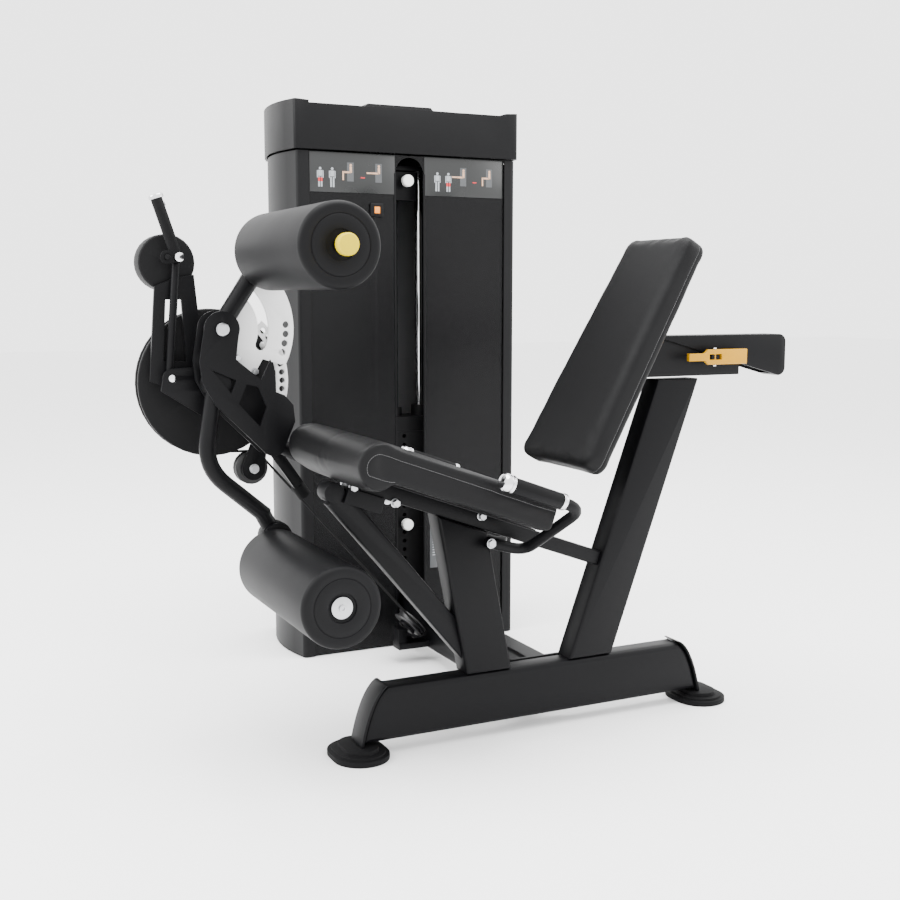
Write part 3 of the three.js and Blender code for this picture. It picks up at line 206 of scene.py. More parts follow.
# The same powder in light grey on the two hole plates.
GREY_POWDER = Finish(
    "light_grey_powder_coat", "#dcdcdc", "#e2e2e2", 0.45, Pattern.POWDER, grain_mm=1.6, relief_mm=0.03,
)
# Upholstery vinyl: closed pebbles about 1.2 mm across that break the highlight up.
VINYL = Finish(
    "black_upholstery_vinyl", "#0b0b0c", "#0f0f10", 0.46, Pattern.HIDE, specular=0.1, grain_mm=1.3,
    relief_mm=0.07,
    uneven=0.06,
)
# Self-skinned polyurethane foam: duller and finer than the vinyl.
ROLLER_FOAM = Finish(
    "skinned_polyurethane_foam", "#08080a", "#0b0b0c", 0.5, Pattern.SKIN, specular=0.1, grain_mm=0.9,
    relief_mm=0.05,
    uneven=0.05,
)
# Nylon and rubber that rubs on hands and floors: nearly no gloss.
RUBBER = Finish(
    "black_rubber", "#080809", "#0b0b0c", 0.68, Pattern.SKIN, specular=0.1, grain_mm=1.0, relief_mm=0.06,
)
# Vacuum-formed ABS covers: a fine leatherette grain and a soft sheen.
COVER_ABS = Finish(
    "charcoal_abs", "#101011", "#131314", 0.43, Pattern.SKIN, specular=0.1, grain_mm=1.1, relief_mm=0.06,
)
CAP_ABS = Finish(
    "black_abs", "#0e0e0f", "#111112", 0.4, Pattern.SKIN, specular=0.1, grain_mm=1.1, relief_mm=0.05,
)
# Smoked acrylic: the weights behind it show faintly through its gloss.
SMOKED_ACRYLIC = Finish(
    "smoked_acrylic", "#0c0c0d", "#0e0e0f", 0.3, Pattern.POLISHED, specular=0.12, alpha=0.93, grain_mm=60.0,
    relief_mm=0.01, uneven=0.02,
)
REAR_STEEL = Finish(
    "grey_sheet_steel", "#6a6a6b", "#707071", 0.5, Pattern.POWDER, grain_mm=1.8, relief_mm=0.03,
)
CHROME = Finish(
    "chrome_plate", "#d6d6d8", "#dededf", 0.1, Pattern.POLISHED, metallic=1.0, grain_mm=30.0,
    relief_mm=0.01, uneven=0.03,
)
ZINC = Finish(
    "zinc_plated_steel", "#a9aaac", "#b6b7b9", 0.32, Pattern.BRUSHED, metallic=1.0, grain_mm=0.8,
    relief_mm=0.02,
)
CAST_IRON = Finish(
    "painted_cast_iron", "#0b0b0c", "#0e0e0f", 0.55, Pattern.CAST, specular=0.1, grain_mm=2.4, relief_mm=0.12,
)
YELLOW_PAINT = Finish(
    "yellow_powder_coat", "#a87800", "#b08004", 0.4, Pattern.POWDER, specular=0.2, grain_mm=1.6,
    relief_mm=0.03,
)
YELLOW_KNOB = Finish(
    "yellow_moulded_nylon", "#b9a200", "#c0aa04", 0.4, Pattern.SKIN, specular=0.2, grain_mm=1.0,
    relief_mm=0.02,
)
WHITE_NYLON = Finish("white_moulded_nylon", "#e6e6e4", "#ecece9", 0.35, Pattern.SKIN, relief_mm=0.02)
PULLEY_NYLON = Finish("black_cast_nylon", "#151516", "#1a1a1b", 0.4, Pattern.SKIN, relief_mm=0.03)
THREAD = Finish(
    "grey_polyester_thread", "#545455", "#5c5c5d", 0.6, Pattern.SKIN, grain_mm=0.4, relief_mm=0.05,
)
PRINT_BLACK = Finish("printed_film", "#0d0f0f", "#101212", 0.28, Pattern.SKIN, relief_mm=0.01)
PRINT_GREY = Finish("grey_print", "#8b8f92", "#92969a", 0.4, Pattern.SKIN, relief_mm=0.01)
PRINT_SLATE = Finish("slate_print", "#3f4143", "#434547", 0.4, Pattern.SKIN, relief_mm=0.01)
PRINT_RED = Finish("red_print", "#b3141a", "#bb1c22", 0.4, Pattern.SKIN, relief_mm=0.01)
PRINT_TAN = Finish("tan_print", "#b08d74", "#b8957c", 0.4, Pattern.SKIN, relief_mm=0.01)
PRINT_ORANGE = Finish("orange_print", "#e08414", "#e88c1c", 0.4, Pattern.SKIN, relief_mm=0.01)


class Paints:
    """Holds each finish's material, built once."""

    def __init__(self) -> None:
        """Start with no material built."""
        self.built: dict[str, bpy.types.Material] = {}

    def of(self, finish: Finish) -> bpy.types.Material:
        """Give the material of a finish, building it the first time."""
        if finish.name not in self.built:
            self.built[finish.name] = finish.build()
        return self.built[finish.name]


PAINTS = Paints()


# ---------------------------------------------------------------- modelling tools


def begin() -> None:
    """Leave edit mode and deselect everything."""
    if bpy.context.mode != "OBJECT":
        bpy.ops.object.mode_set(mode="OBJECT")
    bpy.ops.object.select_all(action="DESELECT")


def settle(piece: Piece) -> None:
    """Put a piece's place, turn and size into its mesh."""
    begin()
    bpy.context.view_layer.objects.active = piece
    piece.select_set(True)
    bpy.ops.object.transform_apply(location=True, rotation=True, scale=True)


def keep(piece: Piece, name: str, body: str, finish: Finish, smooth: float = 35) -> Piece:
    """Name a finished piece, give it its finish and its body, and report it.

    Args:
        piece: the finished piece.
        name: its name.
        body: the CAD body that it rides on.
        finish: its finish.
        smooth: edges sharper than this many degrees stay sharp.

    Returns:
        The same piece.
    """
    settle(piece)
    bpy.ops.object.shade_smooth_by_angle(angle=math.radians(smooth))
    piece.name = name
    piece.data.name = name
    piece.data.materials.clear()
    piece.data.materials.append(PAINTS.of(finish))
    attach(piece, body)
    LOG.info("made %s on %s", name, body)
    return piece


def joined(pieces: list[Piece]) -> Piece:
    """Join pieces into the first one and return it."""
    begin()
    for piece in pieces:
        piece.select_set(True)
    bpy.context.view_layer.objects.active = pieces[0]
    if len(pieces) > 1:
        bpy.ops.object.join()
    return pieces[0]


def block(low: Point, high: Point, round_off: float = 0.0006, segments: int = 2) -> Piece:
    """Model a block with its edges rounded off.

    Args:
        low: lowest corner.
        high: highest corner.
        round_off: radius of its edges, in metres.
        segments: faces across each rounded edge.

    Returns:
        The block.
    """
    begin()
    size = Vector(high) - Vector(low)
    bpy.ops.mesh.primitive_cube_add(size=1, location=(Vector(low) + Vector(high)) / 2)
    piece = bpy.context.object
    piece.scale = size
    settle(piece)
    bpy.ops.object.mode_set(mode="EDIT")
    bpy.ops.mesh.select_all(action="SELECT")
    bpy.ops.mesh.bevel(offset=round_off, segments=segments, affect="EDGES")
    bpy.ops.object.mode_set(mode="OBJECT")
    return piece


def turned(profile: list[tuple[float, float]], start: Vector, axis: Vector, sides: int = 40) -> Piece:
    """Model a turned piece by drawing out a disc step by step.

    Args:
        profile: (radius, distance along the axis) at each step.
        start: the point that distances are measured from.
        axis: direction of the axis.
        sides: sides of the round.

    Returns:
        The piece, closed at both ends.
    """
    begin()
    radius, along = profile[0]
    bpy.ops.mesh.primitive_circle_add(vertices=sides, radius=radius, fill_type="NGON", location=(0, 0, along))
    piece = bpy.context.object
    settle(piece)
    bpy.ops.object.mode_set(mode="EDIT")
    bpy.ops.mesh.select_all(action="SELECT")
    for (before, low), (after, high) in zip(profile, profile[1:]):
        bpy.ops.mesh.extrude_region_move(TRANSFORM_OT_translate={"value": (0, 0, high - low)})
        if after != before:
            grow = after / before
            bpy.ops.transform.resize(value=(grow, grow, 1), center_override=(0, 0, high))
    bpy.ops.mesh.select_all(action="SELECT")
    bpy.ops.mesh.normals_make_consistent(inside=False)
    bpy.ops.object.mode_set(mode="OBJECT")
    turn = Vector((0, 0, 1)).rotation_difference(axis.normalized())
    piece.matrix_world = Matrix.Translation(start) @ turn.to_matrix().to_4x4()
    settle(piece)
    return piece


def rounded_rod(radius: float, length: float, soft: float) -> list[tuple[float, float]]:
    """Give the profile of a round bar whose two ends are softened."""
    return [
        (radius - soft, 0), (radius - soft * 0.3, soft * 0.3), (radius, soft),
        (radius, length - soft), (radius - soft * 0.3, length - soft * 0.3), (radius - soft, length),
    ]


def hex_bolt(start: Vector, axis: Vector, across: float = 0.017, height: float = 0.008) -> Piece:
    """Model a hexagon bolt head on its round washer.

    Args:
        start: the centre of the washer's seat.
        axis: the way the head points.
        across: the head's width.
        height: the head's height.

    Returns:
        The bolt head and washer as one piece.
    """
    washer = across * 0.66
    thick = 0.0016
    ring = turned(rounded_rod(washer, thick, 0.0004), start, axis, 28)
    corner = across / math.sqrt(3)
    head_profile = [(corner, 0), (corner, height - 0.001), (corner * 0.9, height)]
    head = turned(head_profile, start + axis.normalized() * thick, axis, 6)
    return joined([ring, head])


def thread_line(name: str, runs: list[list[Vector]], radius: float) -> Piece:
    """Make one mesh of thread from many short runs.

    Args:
        name: the name of the piece.
        runs: the points of each run.
        radius: the thread's radius.

    Returns:
        The piece.
    """
    line = bpy.data.curves.new(name, "CURVE")
    line.dimensions = "3D"
    line.bevel_depth = radius
    line.bevel_resolution = 1
    line.use_fill_caps = True
    for run in runs:
        spline = line.splines.new("POLY")
        spline.points.add(len(run) - 1)
        for point, at in zip(spline.points, run):
            point.co = (*at, 1.0)
    piece = bpy.data.objects.new(name, line)
    bpy.context.scene.collection.objects.link(piece)
    begin()
    bpy.context.view_layer.objects.active = piece
    piece.select_set(True)
    bpy.ops.object.convert(target="MESH")
    return bpy.context.object


# ---------------------------------------------------------------- CAD nodes


@dataclass
class FrameDressing:
    """Gives every CAD node that stays in view its finish, and softens its edges."""

    edge: float = 0.0011
    fine_edge: float = 0.0005
    sharp_degrees: float = 38.0
    finishes: dict[str, Finish] = field(default_factory=lambda: {
        "frame_black": BLACK_POWDER, "upholstery": VINYL, "foam": ROLLER_FOAM, "grip_rubber": RUBBER,
        "chrome": CHROME, "zinc": ZINC, "light_steel": GREY_POWDER, "weights": CAST_IRON,
        "pulley_nylon": PULLEY_NYLON, "shroud_grey": COVER_ABS, "panel_black": SMOKED_ACRYLIC,
        "knob_yellow": YELLOW_KNOB, "paddle_yellow": YELLOW_PAINT, "knob_white": WHITE_NYLON,
        "cable_coat": RUBBER,
    })
    own: dict[str, Finish] = field(default_factory=lambda: {
        "tower_cap": CAP_ABS, "rear_panel": REAR_STEEL, "hand_lever": RUBBER, "cam_disc": CAST_IRON,
    })
    unrounded: tuple[str, ...] = (
        "weight_plates_resting", "weight_plates_selected", "drive_cable", "drive_cable_drop",
        "tower_shroud_left", "tower_shroud_right", "front_panel_left", "front_panel_right", "back_arm",
    )

    def smoothing(self) -> bpy.types.NodeTree:
        """Build the geometry group that shades a mesh smooth up to the sharp angle.

        Returns:
            The node group.
        """
        group = bpy.data.node_groups.new("smooth_up_to_sharp_edges", "GeometryNodeTree")
        group.interface.new_socket("Geometry", in_out="INPUT", socket_type="NodeSocketGeometry")
        group.interface.new_socket("Geometry", in_out="OUTPUT", socket_type="NodeSocketGeometry")
        start = add_node(group, "NodeGroupInput")
        angle = add_node(group, "GeometryNodeInputMeshEdgeAngle")
        gentle = add_node(
            group, "FunctionNodeCompare",
            {0: angle.outputs["Unsigned Angle"], 1: math.radians(self.sharp_degrees)},
            data_type="FLOAT", operation="LESS_EQUAL",
        )
        faces = add_node(
            group, "GeometryNodeSetShadeSmooth", {"Geometry": start.outputs[0], "Shade Smooth": True},
            domain="FACE",
        )
        edges = add_node(
            group, "GeometryNodeSetShadeSmooth",
            {"Geometry": faces.outputs[0], "Shade Smooth": gentle.outputs[0]}, domain="EDGE",
        )
        add_node(group, "NodeGroupOutput", {0: edges.outputs[0]})
        return group

    def soften(self, node: Piece, name: str, group: bpy.types.NodeTree) -> None:
        """Merge a CAD mesh's triangles, round its sharp edges and shade it smooth.

        Args:
            node: the CAD node's object.
            name: the CAD node's name.
            group: the smoothing group.
        """
        weld = node.modifiers.new("merge_triangles", "WELD")
        weld.merge_threshold = 0.00001
        if name not in self.unrounded:
            size = Vector(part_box(name)[1]) - Vector(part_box(name)[0])
            bevel = node.modifiers.new("soft_edges", "BEVEL")
            bevel.limit_method = "ANGLE"
            bevel.angle_limit = math.radians(self.sharp_degrees)
            bevel.width = self.edge if min(size) > 0.02 else self.fine_edge
            bevel.segments = 2
        smooth = node.modifiers.new("smooth_shading", "NODES")
        smooth.node_group = group

    def dress(self) -> None:
        """Dress every CAD node by its material slot, or by its own finish."""
        group = self.smoothing()
        slots = {row["node"]: row["material_slot"] for row in frame["record"]["subparts"]}
        for name, node in frame["nodes"].items():
            finish = self.own.get(name, self.finishes[slots[name]])
            if not node.material_slots:
                node.data.materials.append(None)
            for holder in node.material_slots:
                holder.link = "OBJECT"
                holder.material = PAINTS.of(finish)
            self.soften(node, name, group)
            LOG.info("dressed %s in %s", name, finish.name)


# ---------------------------------------------------------------- cushions


@dataclass
class Cushion:
    """A sewn pad, blown up by cloth simulation from its CAD solid."""

    node: str
    name: str
    body: str
    fill: float = 0.85
    inset: float = 0.0035
    voxel: float = 0.0055
    cap: float = 0.0055
    smoothing_rounds: int = 8
    pressure: float = 4.0
    frames: int = 20
    groove_depth: float = 0.0012
    groove_reach: float = 0.0045
    thread_radius: float = 0.0004
    stitch: float = 0.0052
    gap: float = 0.0014

    def blank(self) -> Piece:
        """Copy the CAD solid, merge it, even out its faces and draw it in a little.

        Returns:
            The blank that the simulation starts from.
        """
        begin()
        mesh = frame["nodes"][self.node].data.copy()
        piece = bpy.data.objects.new(self.name, mesh)
        bpy.context.scene.collection.objects.link(piece)
        bpy.context.view_layer.objects.active = piece
        piece.select_set(True)
        bpy.ops.object.mode_set(mode="EDIT")
        bpy.ops.mesh.select_all(action="SELECT")
        bpy.ops.mesh.remove_doubles(threshold=0.00001)
        bpy.ops.object.mode_set(mode="OBJECT")
        remesh = piece.modifiers.new("even_faces", "REMESH")
        remesh.mode = "VOXEL"
        remesh.voxel_size = self.voxel
        remesh.use_smooth_shade = True
        bpy.ops.object.modifier_apply(modifier=remesh.name)
        bpy.ops.object.mode_set(mode="EDIT")
        bpy.ops.mesh.select_all(action="SELECT")
        bpy.ops.mesh.normals_make_consistent(inside=False)
        bpy.ops.transform.shrink_fatten(value=-self.inset)
        bpy.ops.object.mode_set(mode="OBJECT")
        return piece

    def blow_up(self, piece: Piece) -> None:
        """Let pressure swell the blank, and cap how far each point may move.

        Args:
            piece: the blank, which becomes the swollen pad.
        """
        start = [vertex.co.copy() for vertex in piece.data.vertices]
        cloth = piece.modifiers.new("swelling", "CLOTH")
        cloth.settings.use_pressure = True
        cloth.settings.uniform_pressure_force = self.pressure
        cloth.settings.effector_weights.gravity = 0
        cloth.settings.quality = 5
        cloth.point_cache.frame_end = self.frames
        scene = bpy.context.scene
        for step in range(1, self.frames + 1):
            scene.frame_set(step)
        swollen = piece.evaluated_get(bpy.context.evaluated_depsgraph_get()).to_mesh()
        ends = [vertex.co.copy() for vertex in swollen.vertices]
        piece.evaluated_get(bpy.context.evaluated_depsgraph_get()).to_mesh_clear()
        piece.modifiers.remove(cloth)
        scene.frame_set(1)
        for vertex, before, after in zip(piece.data.vertices, start, ends):
            move = after - before
            if move.length > self.cap:
                move *= self.cap / move.length
            vertex.co = before + move

    def stretch(self, piece: Piece) -> None:
        """Pull the cover's small wrinkles out, as tight vinyl does over foam."""
        smooth = piece.modifiers.new("tight_cover", "SMOOTH")
        smooth.factor = 0.5
        smooth.iterations = self.smoothing_rounds
        begin()
        bpy.context.view_layer.objects.active = piece
        piece.select_set(True)
        bpy.ops.object.modifier_apply(modifier=smooth.name)

    def rest_flat(self, piece: Piece) -> None:
        """Hold the pad's underside flat; a plain pad has none."""

    def seams(self) -> list[list[Vector]]:
        """Give the seam lines as points near the pad's surface; a plain pad has none."""
        return []

    def sew(self, piece: Piece) -> list[list[Vector]]:
        """Sink a groove along each seam and lay stitches in it.

        Args:
            piece: the swollen pad.

        Returns:
            The runs of thread, each a start and an end.
        """
        runs: list[list[Vector]] = []
        marks: list[Vector] = []
        for seam in self.seams():
            points = resampled(seam, self.stitch)
            laid = [piece.closest_point_on_mesh(point)[1:3] for point in points]
            marks.extend(place for place, _ in laid)
            for (first, normal), (second, _) in zip(laid, laid[1:]):
                way = (second - first).normalized()
                lift = normal * (self.thread_radius * 0.5 - self.groove_depth * 0.6)
                runs.append([first + lift + way * self.gap / 2, second + lift - way * self.gap / 2])
        if marks:
            self.sink(piece, marks)
        return runs

    def sink(self, piece: Piece, marks: list[Vector]) -> None:
        """Press the surface in around the seam's points."""
        near = KDTree(len(marks))
        for i, mark in enumerate(marks):
            near.insert(mark, i)
        near.balance()
        normals = [vertex.normal.copy() for vertex in piece.data.vertices]
        for vertex, normal in zip(piece.data.vertices, normals):
            distance = near.find(vertex.co)[2]
            if distance < self.groove_reach:
                share = 0.5 + 0.5 * math.cos(math.pi * distance / self.groove_reach)
                vertex.co -= normal * self.groove_depth * share

    def build(self) -> Piece:
        """Build the pad and its stitching.

        Returns:
            The finished pad.
        """
        piece = self.blank()
        self.blow_up(piece)
        self.stretch(piece)
        self.rest_flat(piece)
        divide = piece.modifiers.new("finer", "SUBSURF")
        divide.levels = 1
        divide.render_levels = 1
        begin()
        bpy.context.view_layer.objects.active = piece
        piece.select_set(True)
        bpy.ops.object.modifier_apply(modifier=divide.name)
        runs = self.sew(piece)
        keep(piece, self.name, self.body, VINYL, 60)
        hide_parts(self.node)
        if runs:
            thread = thread_line(f"{self.name}_stitching", runs, self.thread_radius)
            keep(thread, f"{self.name}_stitching", self.body, THREAD, 60)
        return piece


def resampled(points: list[Vector], step: float) -> list[Vector]:
    """Space points evenly along a line of points.

    Args:
        points: the line's corners.
        step: the distance wanted between points.

    Returns:
        Points along the line, about a step apart.
    """
    spaced = [points[0].copy()]
    left = step
    for first, second in zip(points, points[1:]):
        length = (second - first).length
        at = left
        while at <= length:
            spaced.append(first.lerp(second, at / length))
            at += step
        left = at - length
    return spaced


@dataclass
class SeatPlane:
    """The seat's own directions, measured from the centre of the roll at its front edge."""

    tilt: float = math.radians(20)
    roll: float = 0.051

    def centre(self) -> Vector:
        """Give the centre of the front roll, midway across the seat."""
        low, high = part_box("seat_pad")
        return Vector((low[0] + self.roll, (low[1] + high[1]) / 2, high[2] - self.roll))

    def point(self, along: float, across: float, above: float) -> Vector:
        """Give a point of the seat in the row frame.

        Args:
            along: distance towards the seat's rear.
            across: distance towards the tower.
            above: distance over the roll's centre.

        Returns:
            The point.
        """
        way = Vector((math.cos(self.tilt), 0, -math.sin(self.tilt)))
        up = Vector((math.sin(self.tilt), 0, math.cos(self.tilt)))
        return self.centre() + way * along + up * above + Vector((0, across, 0))


SEAT = SeatPlane()


@dataclass
class SeatCushion(Cushion):
    """The seat pad, with a stitched loop on each side that turns round the front roll."""

    loop: float = 0.027
    rear: float = 0.412
    underside: float = -0.022
    loop_end: float = 0.048
    rear_shift: float = 0.010

    def rest_flat(self, piece: Piece) -> None:
        """Hold the underside flat where it lies on the board."""
        up = Vector((math.sin(SEAT.tilt), 0, math.cos(SEAT.tilt)))
        centre = SEAT.centre()
        for vertex in piece.data.vertices:
            way = vertex.co - centre
            height = way.dot(up)
            behind_roll = way.x * math.cos(SEAT.tilt) - way.z * math.sin(SEAT.tilt) > self.loop_end
            if behind_roll and height < self.underside:
                vertex.co += up * (self.underside - height)

    def seams(self) -> list[list[Vector]]:
        """Give one stitched line for each side of the seat."""
        lines = []
        turns = 24
        low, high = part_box(self.node)
        for side in (-1, 1):
            across = side * (high[1] - low[1]) / 2
            line = [SEAT.point(self.rear + self.rear_shift, across, self.loop)]
            for i in range(turns + 1):
                angle = math.radians(90 + i * 140 / turns)
                line.append(SEAT.point(self.loop * math.cos(angle), across, self.loop * math.sin(angle)))
            line.append(SEAT.point(self.loop_end, across, self.underside + 0.002))
            lines.append(line)
        return lines


@dataclass
class BackCushion(Cushion):
    """The backrest pad, with one stitched line round its side."""

    tilt: float = math.radians(29.7)
    height: float = 0.602
    thickness: float = 0.064
    low_half: float = 0.158
    top_half: float = 0.134
    corner: float = 0.034
    seam_depth: float = 0.040

    def foot(self) -> Vector:
        """Give the middle of the pad's lower front edge, worked out from its box."""
        low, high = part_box(self.node)
        rise = self.thickness * math.sin(self.tilt)
        return Vector((low[0], (low[1] + high[1]) / 2, low[2] + rise))

    def seams(self) -> list[list[Vector]]:
        """Give the stitched line, a rounded rectangle round the pad's side."""
        up = Vector((math.sin(self.tilt), 0, math.cos(self.tilt)))
        rear = Vector((math.cos(self.tilt), 0, -math.sin(self.tilt)))
        start = self.foot() + rear * self.seam_depth
        centres = [
            (self.low_half - self.corner, self.corner, -90),
            (self.top_half - self.corner, self.height - self.corner, 0),
            (self.corner - self.top_half, self.height - self.corner, 90),
            (self.corner - self.low_half, self.corner, 180),
        ]
        line = []
        turns = 8
        for across, along, first in centres:
            for i in range(turns + 1):
                angle = math.radians(first + 90 * i / turns)
                y = across + self.corner * math.cos(angle)
                z = along + self.corner * math.sin(angle)
                line.append(start + Vector((0, y, 0)) + up * z)
        line.append(line[0].copy())
        return [line]


# ---------------------------------------------------------------- rollers


@dataclass
class FoamRoller:
    """A roller of skinned foam with a recessed disc in its near end."""

    node: str
    name: str
    body: str
    radius: float = 0.085
    rim: float = 0.012
    groove_at: float = 0.060
    groove: float = 0.0016
    recess: float = 0.0290
    recess_depth: float = 0.007
    bore: float = 0.0150
    bore_depth: float = 0.0125
    sides: int = 96

    def rim_profile(self, at: float, turn: int) -> list[tuple[float, float]]:
        """Give the rounded rim at one end: turn 1 opens the roller, -1 closes it."""
        steps = 7
        centre = self.radius - self.rim
        angles = [math.radians(90 * i / steps) for i in range(steps + 1)]
        points = [
            (centre + self.rim * math.sin(a), at + turn * (self.rim - self.rim * math.cos(a))) for a in angles
        ]
        return points if turn > 0 else points[::-1]

    def build(self) -> Piece:
        """Build the roller.

        Returns:
            The roller.
        """
        low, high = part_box(self.node)
        centre = Vector(((low[0] + high[0]) / 2, low[1], (low[2] + high[2]) / 2))
        length = high[1] - low[1]
        dip = self.groove
        profile = [
            (self.bore, self.bore_depth), (self.bore + 0.0005, self.recess_depth),
            (self.recess, self.recess_depth), (self.recess + 0.0012, self.recess_depth - 0.001),
            (self.recess + 0.0016, 0.0012), (self.recess + 0.003, 0.0003),
            (self.groove_at - 0.0022, 0), (self.groove_at - 0.0012, dip * 0.4), (self.groove_at, dip),
            (self.groove_at + 0.0012, dip * 0.4), (self.groove_at + 0.0022, 0),
        ]
        profile += self.rim_profile(0, 1)
        profile += self.rim_profile(length, -1)
        profile += [(self.recess, length), (self.bore, length)]
        piece = turned(profile, centre, Vector((0, 1, 0)), self.sides)
        keep(piece, self.name, self.body, ROLLER_FOAM, 50)
        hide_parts(self.node)
        return piece


@dataclass
class RollerFittings:
    """The silver washer and bolt that keep the lower roller on its shaft."""

    washer: float = 0.0225
    thick: float = 0.003
    bolt: float = 0.0075
    socket: float = 0.0040
    clearance: float = 0.0005

    def build(self) -> None:
        """Build the washer and the socket bolt on the lower roller's near end."""
        low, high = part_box("lower_roller")
        face = low[1] + FoamRoller.recess_depth - self.clearance
        centre = Vector(((low[0] + high[0]) / 2, face, (low[2] + high[2]) / 2))
        out = Vector((0, -1, 0))
        washer = turned(rounded_rod(self.washer, self.thick, 0.0008), centre, out, 64)
        keep(washer, "lower_roller_washer", "link", ZINC)
        profile = rounded_rod(self.bolt, 0.004, 0.0008)
        profile += [(self.socket, 0.004), (self.socket * 0.98, 0.0018)]
        bolt = turned(profile, centre + out * (self.thick + 0.0001), out, 32)
        keep(bolt, "lower_roller_bolt", "link", ZINC)


# ---------------------------------------------------------------- handles


@dataclass
class SeatGrips:
    """The rubber sleeves of the two seat handles, with their chrome end cap and rings."""

    tube: float = 0.0125
    sleeve: float = 0.0168
    sleeve_start: float = 0.017
    sleeve_length: float = 0.130
    ring: float = 0.0182
    ring_length: float = 0.010
    cap: float = 0.0195
    cap_length: float = 0.020

    def tip(self, node: str) -> Vector:
        """Give the centre of the handle tube's free end, worked out from the handle's box."""
        low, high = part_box(node)
        near = node.endswith("near")
        y = low[1] + 0.0165 if near else high[1] - 0.0165
        x = low[0] + self.tube * math.sin(SEAT.tilt)
        z = high[2] - 0.0165 * math.cos(SEAT.tilt) + self.sleeve_start * math.sin(SEAT.tilt)
        return Vector((x, y, z))

    def build(self) -> None:
        """Build both grips."""
        way = Vector((math.cos(SEAT.tilt), 0, -math.sin(SEAT.tilt)))
        for side in ("near", "far"):
            tip = self.tip(f"seat_handle_{side}")
            sleeve_profile = rounded_rod(self.sleeve, self.sleeve_length, 0.001)
            sleeve = turned(sleeve_profile, tip + way * self.sleeve_start, way, 40)
            keep(sleeve, f"handle_sleeve_{side}", "frame", RUBBER)
            cap_soft = self.cap * 0.35
            profile = [
                (self.cap * 0.45, -0.006), (self.cap * 0.8, -0.0045), (self.cap - 0.001, -0.001),
                (self.cap, cap_soft * 0.3), (self.cap, self.cap_length * 0.5),
                (self.cap * 0.86, self.cap_length * 0.56), (self.cap * 0.86, self.cap_length * 0.66),
                (self.cap, self.cap_length * 0.72), (self.cap, self.cap_length),
                (self.cap - 0.001, self.cap_length + 0.001),
            ]
            cap = turned(profile, tip, way, 48)
            keep(cap, f"handle_cap_{side}", "frame", CHROME)
            rear = tip + way * (self.sleeve_start + self.sleeve_length - 0.004)
            ring = turned(rounded_rod(self.ring, self.ring_length, 0.0012), rear, way, 48)
            keep(ring, f"handle_ring_{side}", "frame", CHROME)


@dataclass
class ReleaseGrip:
    """The chrome cap, ring and bright fasteners of the hand lever and its linkage."""

    stick: float = 0.013
    cap: float = 0.0165
    lean: float = 0.040
    height: float = 0.122
    barrel: float = 0.0105
    eye: float = 0.0125

    def build(self) -> None:
        """Build the cap, the ring, the pin ends and the barrel."""
        low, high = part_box("hand_lever")
        top = Vector((low[0] + self.stick, (low[1] + high[1]) / 2, high[2]))
        link_low, link_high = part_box("release_link")
        foot = Vector((top.x + self.lean, top.y, top.z - self.height))
        way = (top - foot).normalized()
        centre = Vector((top.x, low[1] + 0.0190, top.z)) + way * -0.003
        cap_profile = [
            (self.cap * 0.95, -0.001), (self.cap, 0), (self.cap, 0.0055), (self.cap * 0.9, 0.0085),
            (self.cap * 0.6, 0.010),
        ]
        cap = turned(cap_profile, centre, way, 40)
        keep(cap, "release_handle_cap", "hand_lever", CHROME)
        ring = turned(rounded_rod(self.stick + 0.0016, 0.009, 0.001), centre - way * 0.021, way, 40)
        keep(ring, "release_handle_ring", "hand_lever", CHROME)
        out = Vector((0, -1, 0))
        crank_low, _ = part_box("release_crank")
        middle = (link_low[0] + link_high[0]) / 2
        top_pin = Vector((link_high[0] - self.eye, low[1] + 0.004, link_high[2] - self.eye))
        pin = turned(rounded_rod(self.barrel, 0.016, 0.0015), top_pin, out, 32)
        keep(pin, "release_top_pin", "hand_lever", CHROME)
        barrel_at = Vector((middle - 0.012, crank_low[1] + 0.002, link_low[2] + 0.014))
        barrel = turned(rounded_rod(self.barrel * 0.8, 0.006, 0.001), barrel_at, out, 32)
        keep(barrel, "release_low_pin", "release_crank", CHROME)


# ---------------------------------------------------------------- fasteners


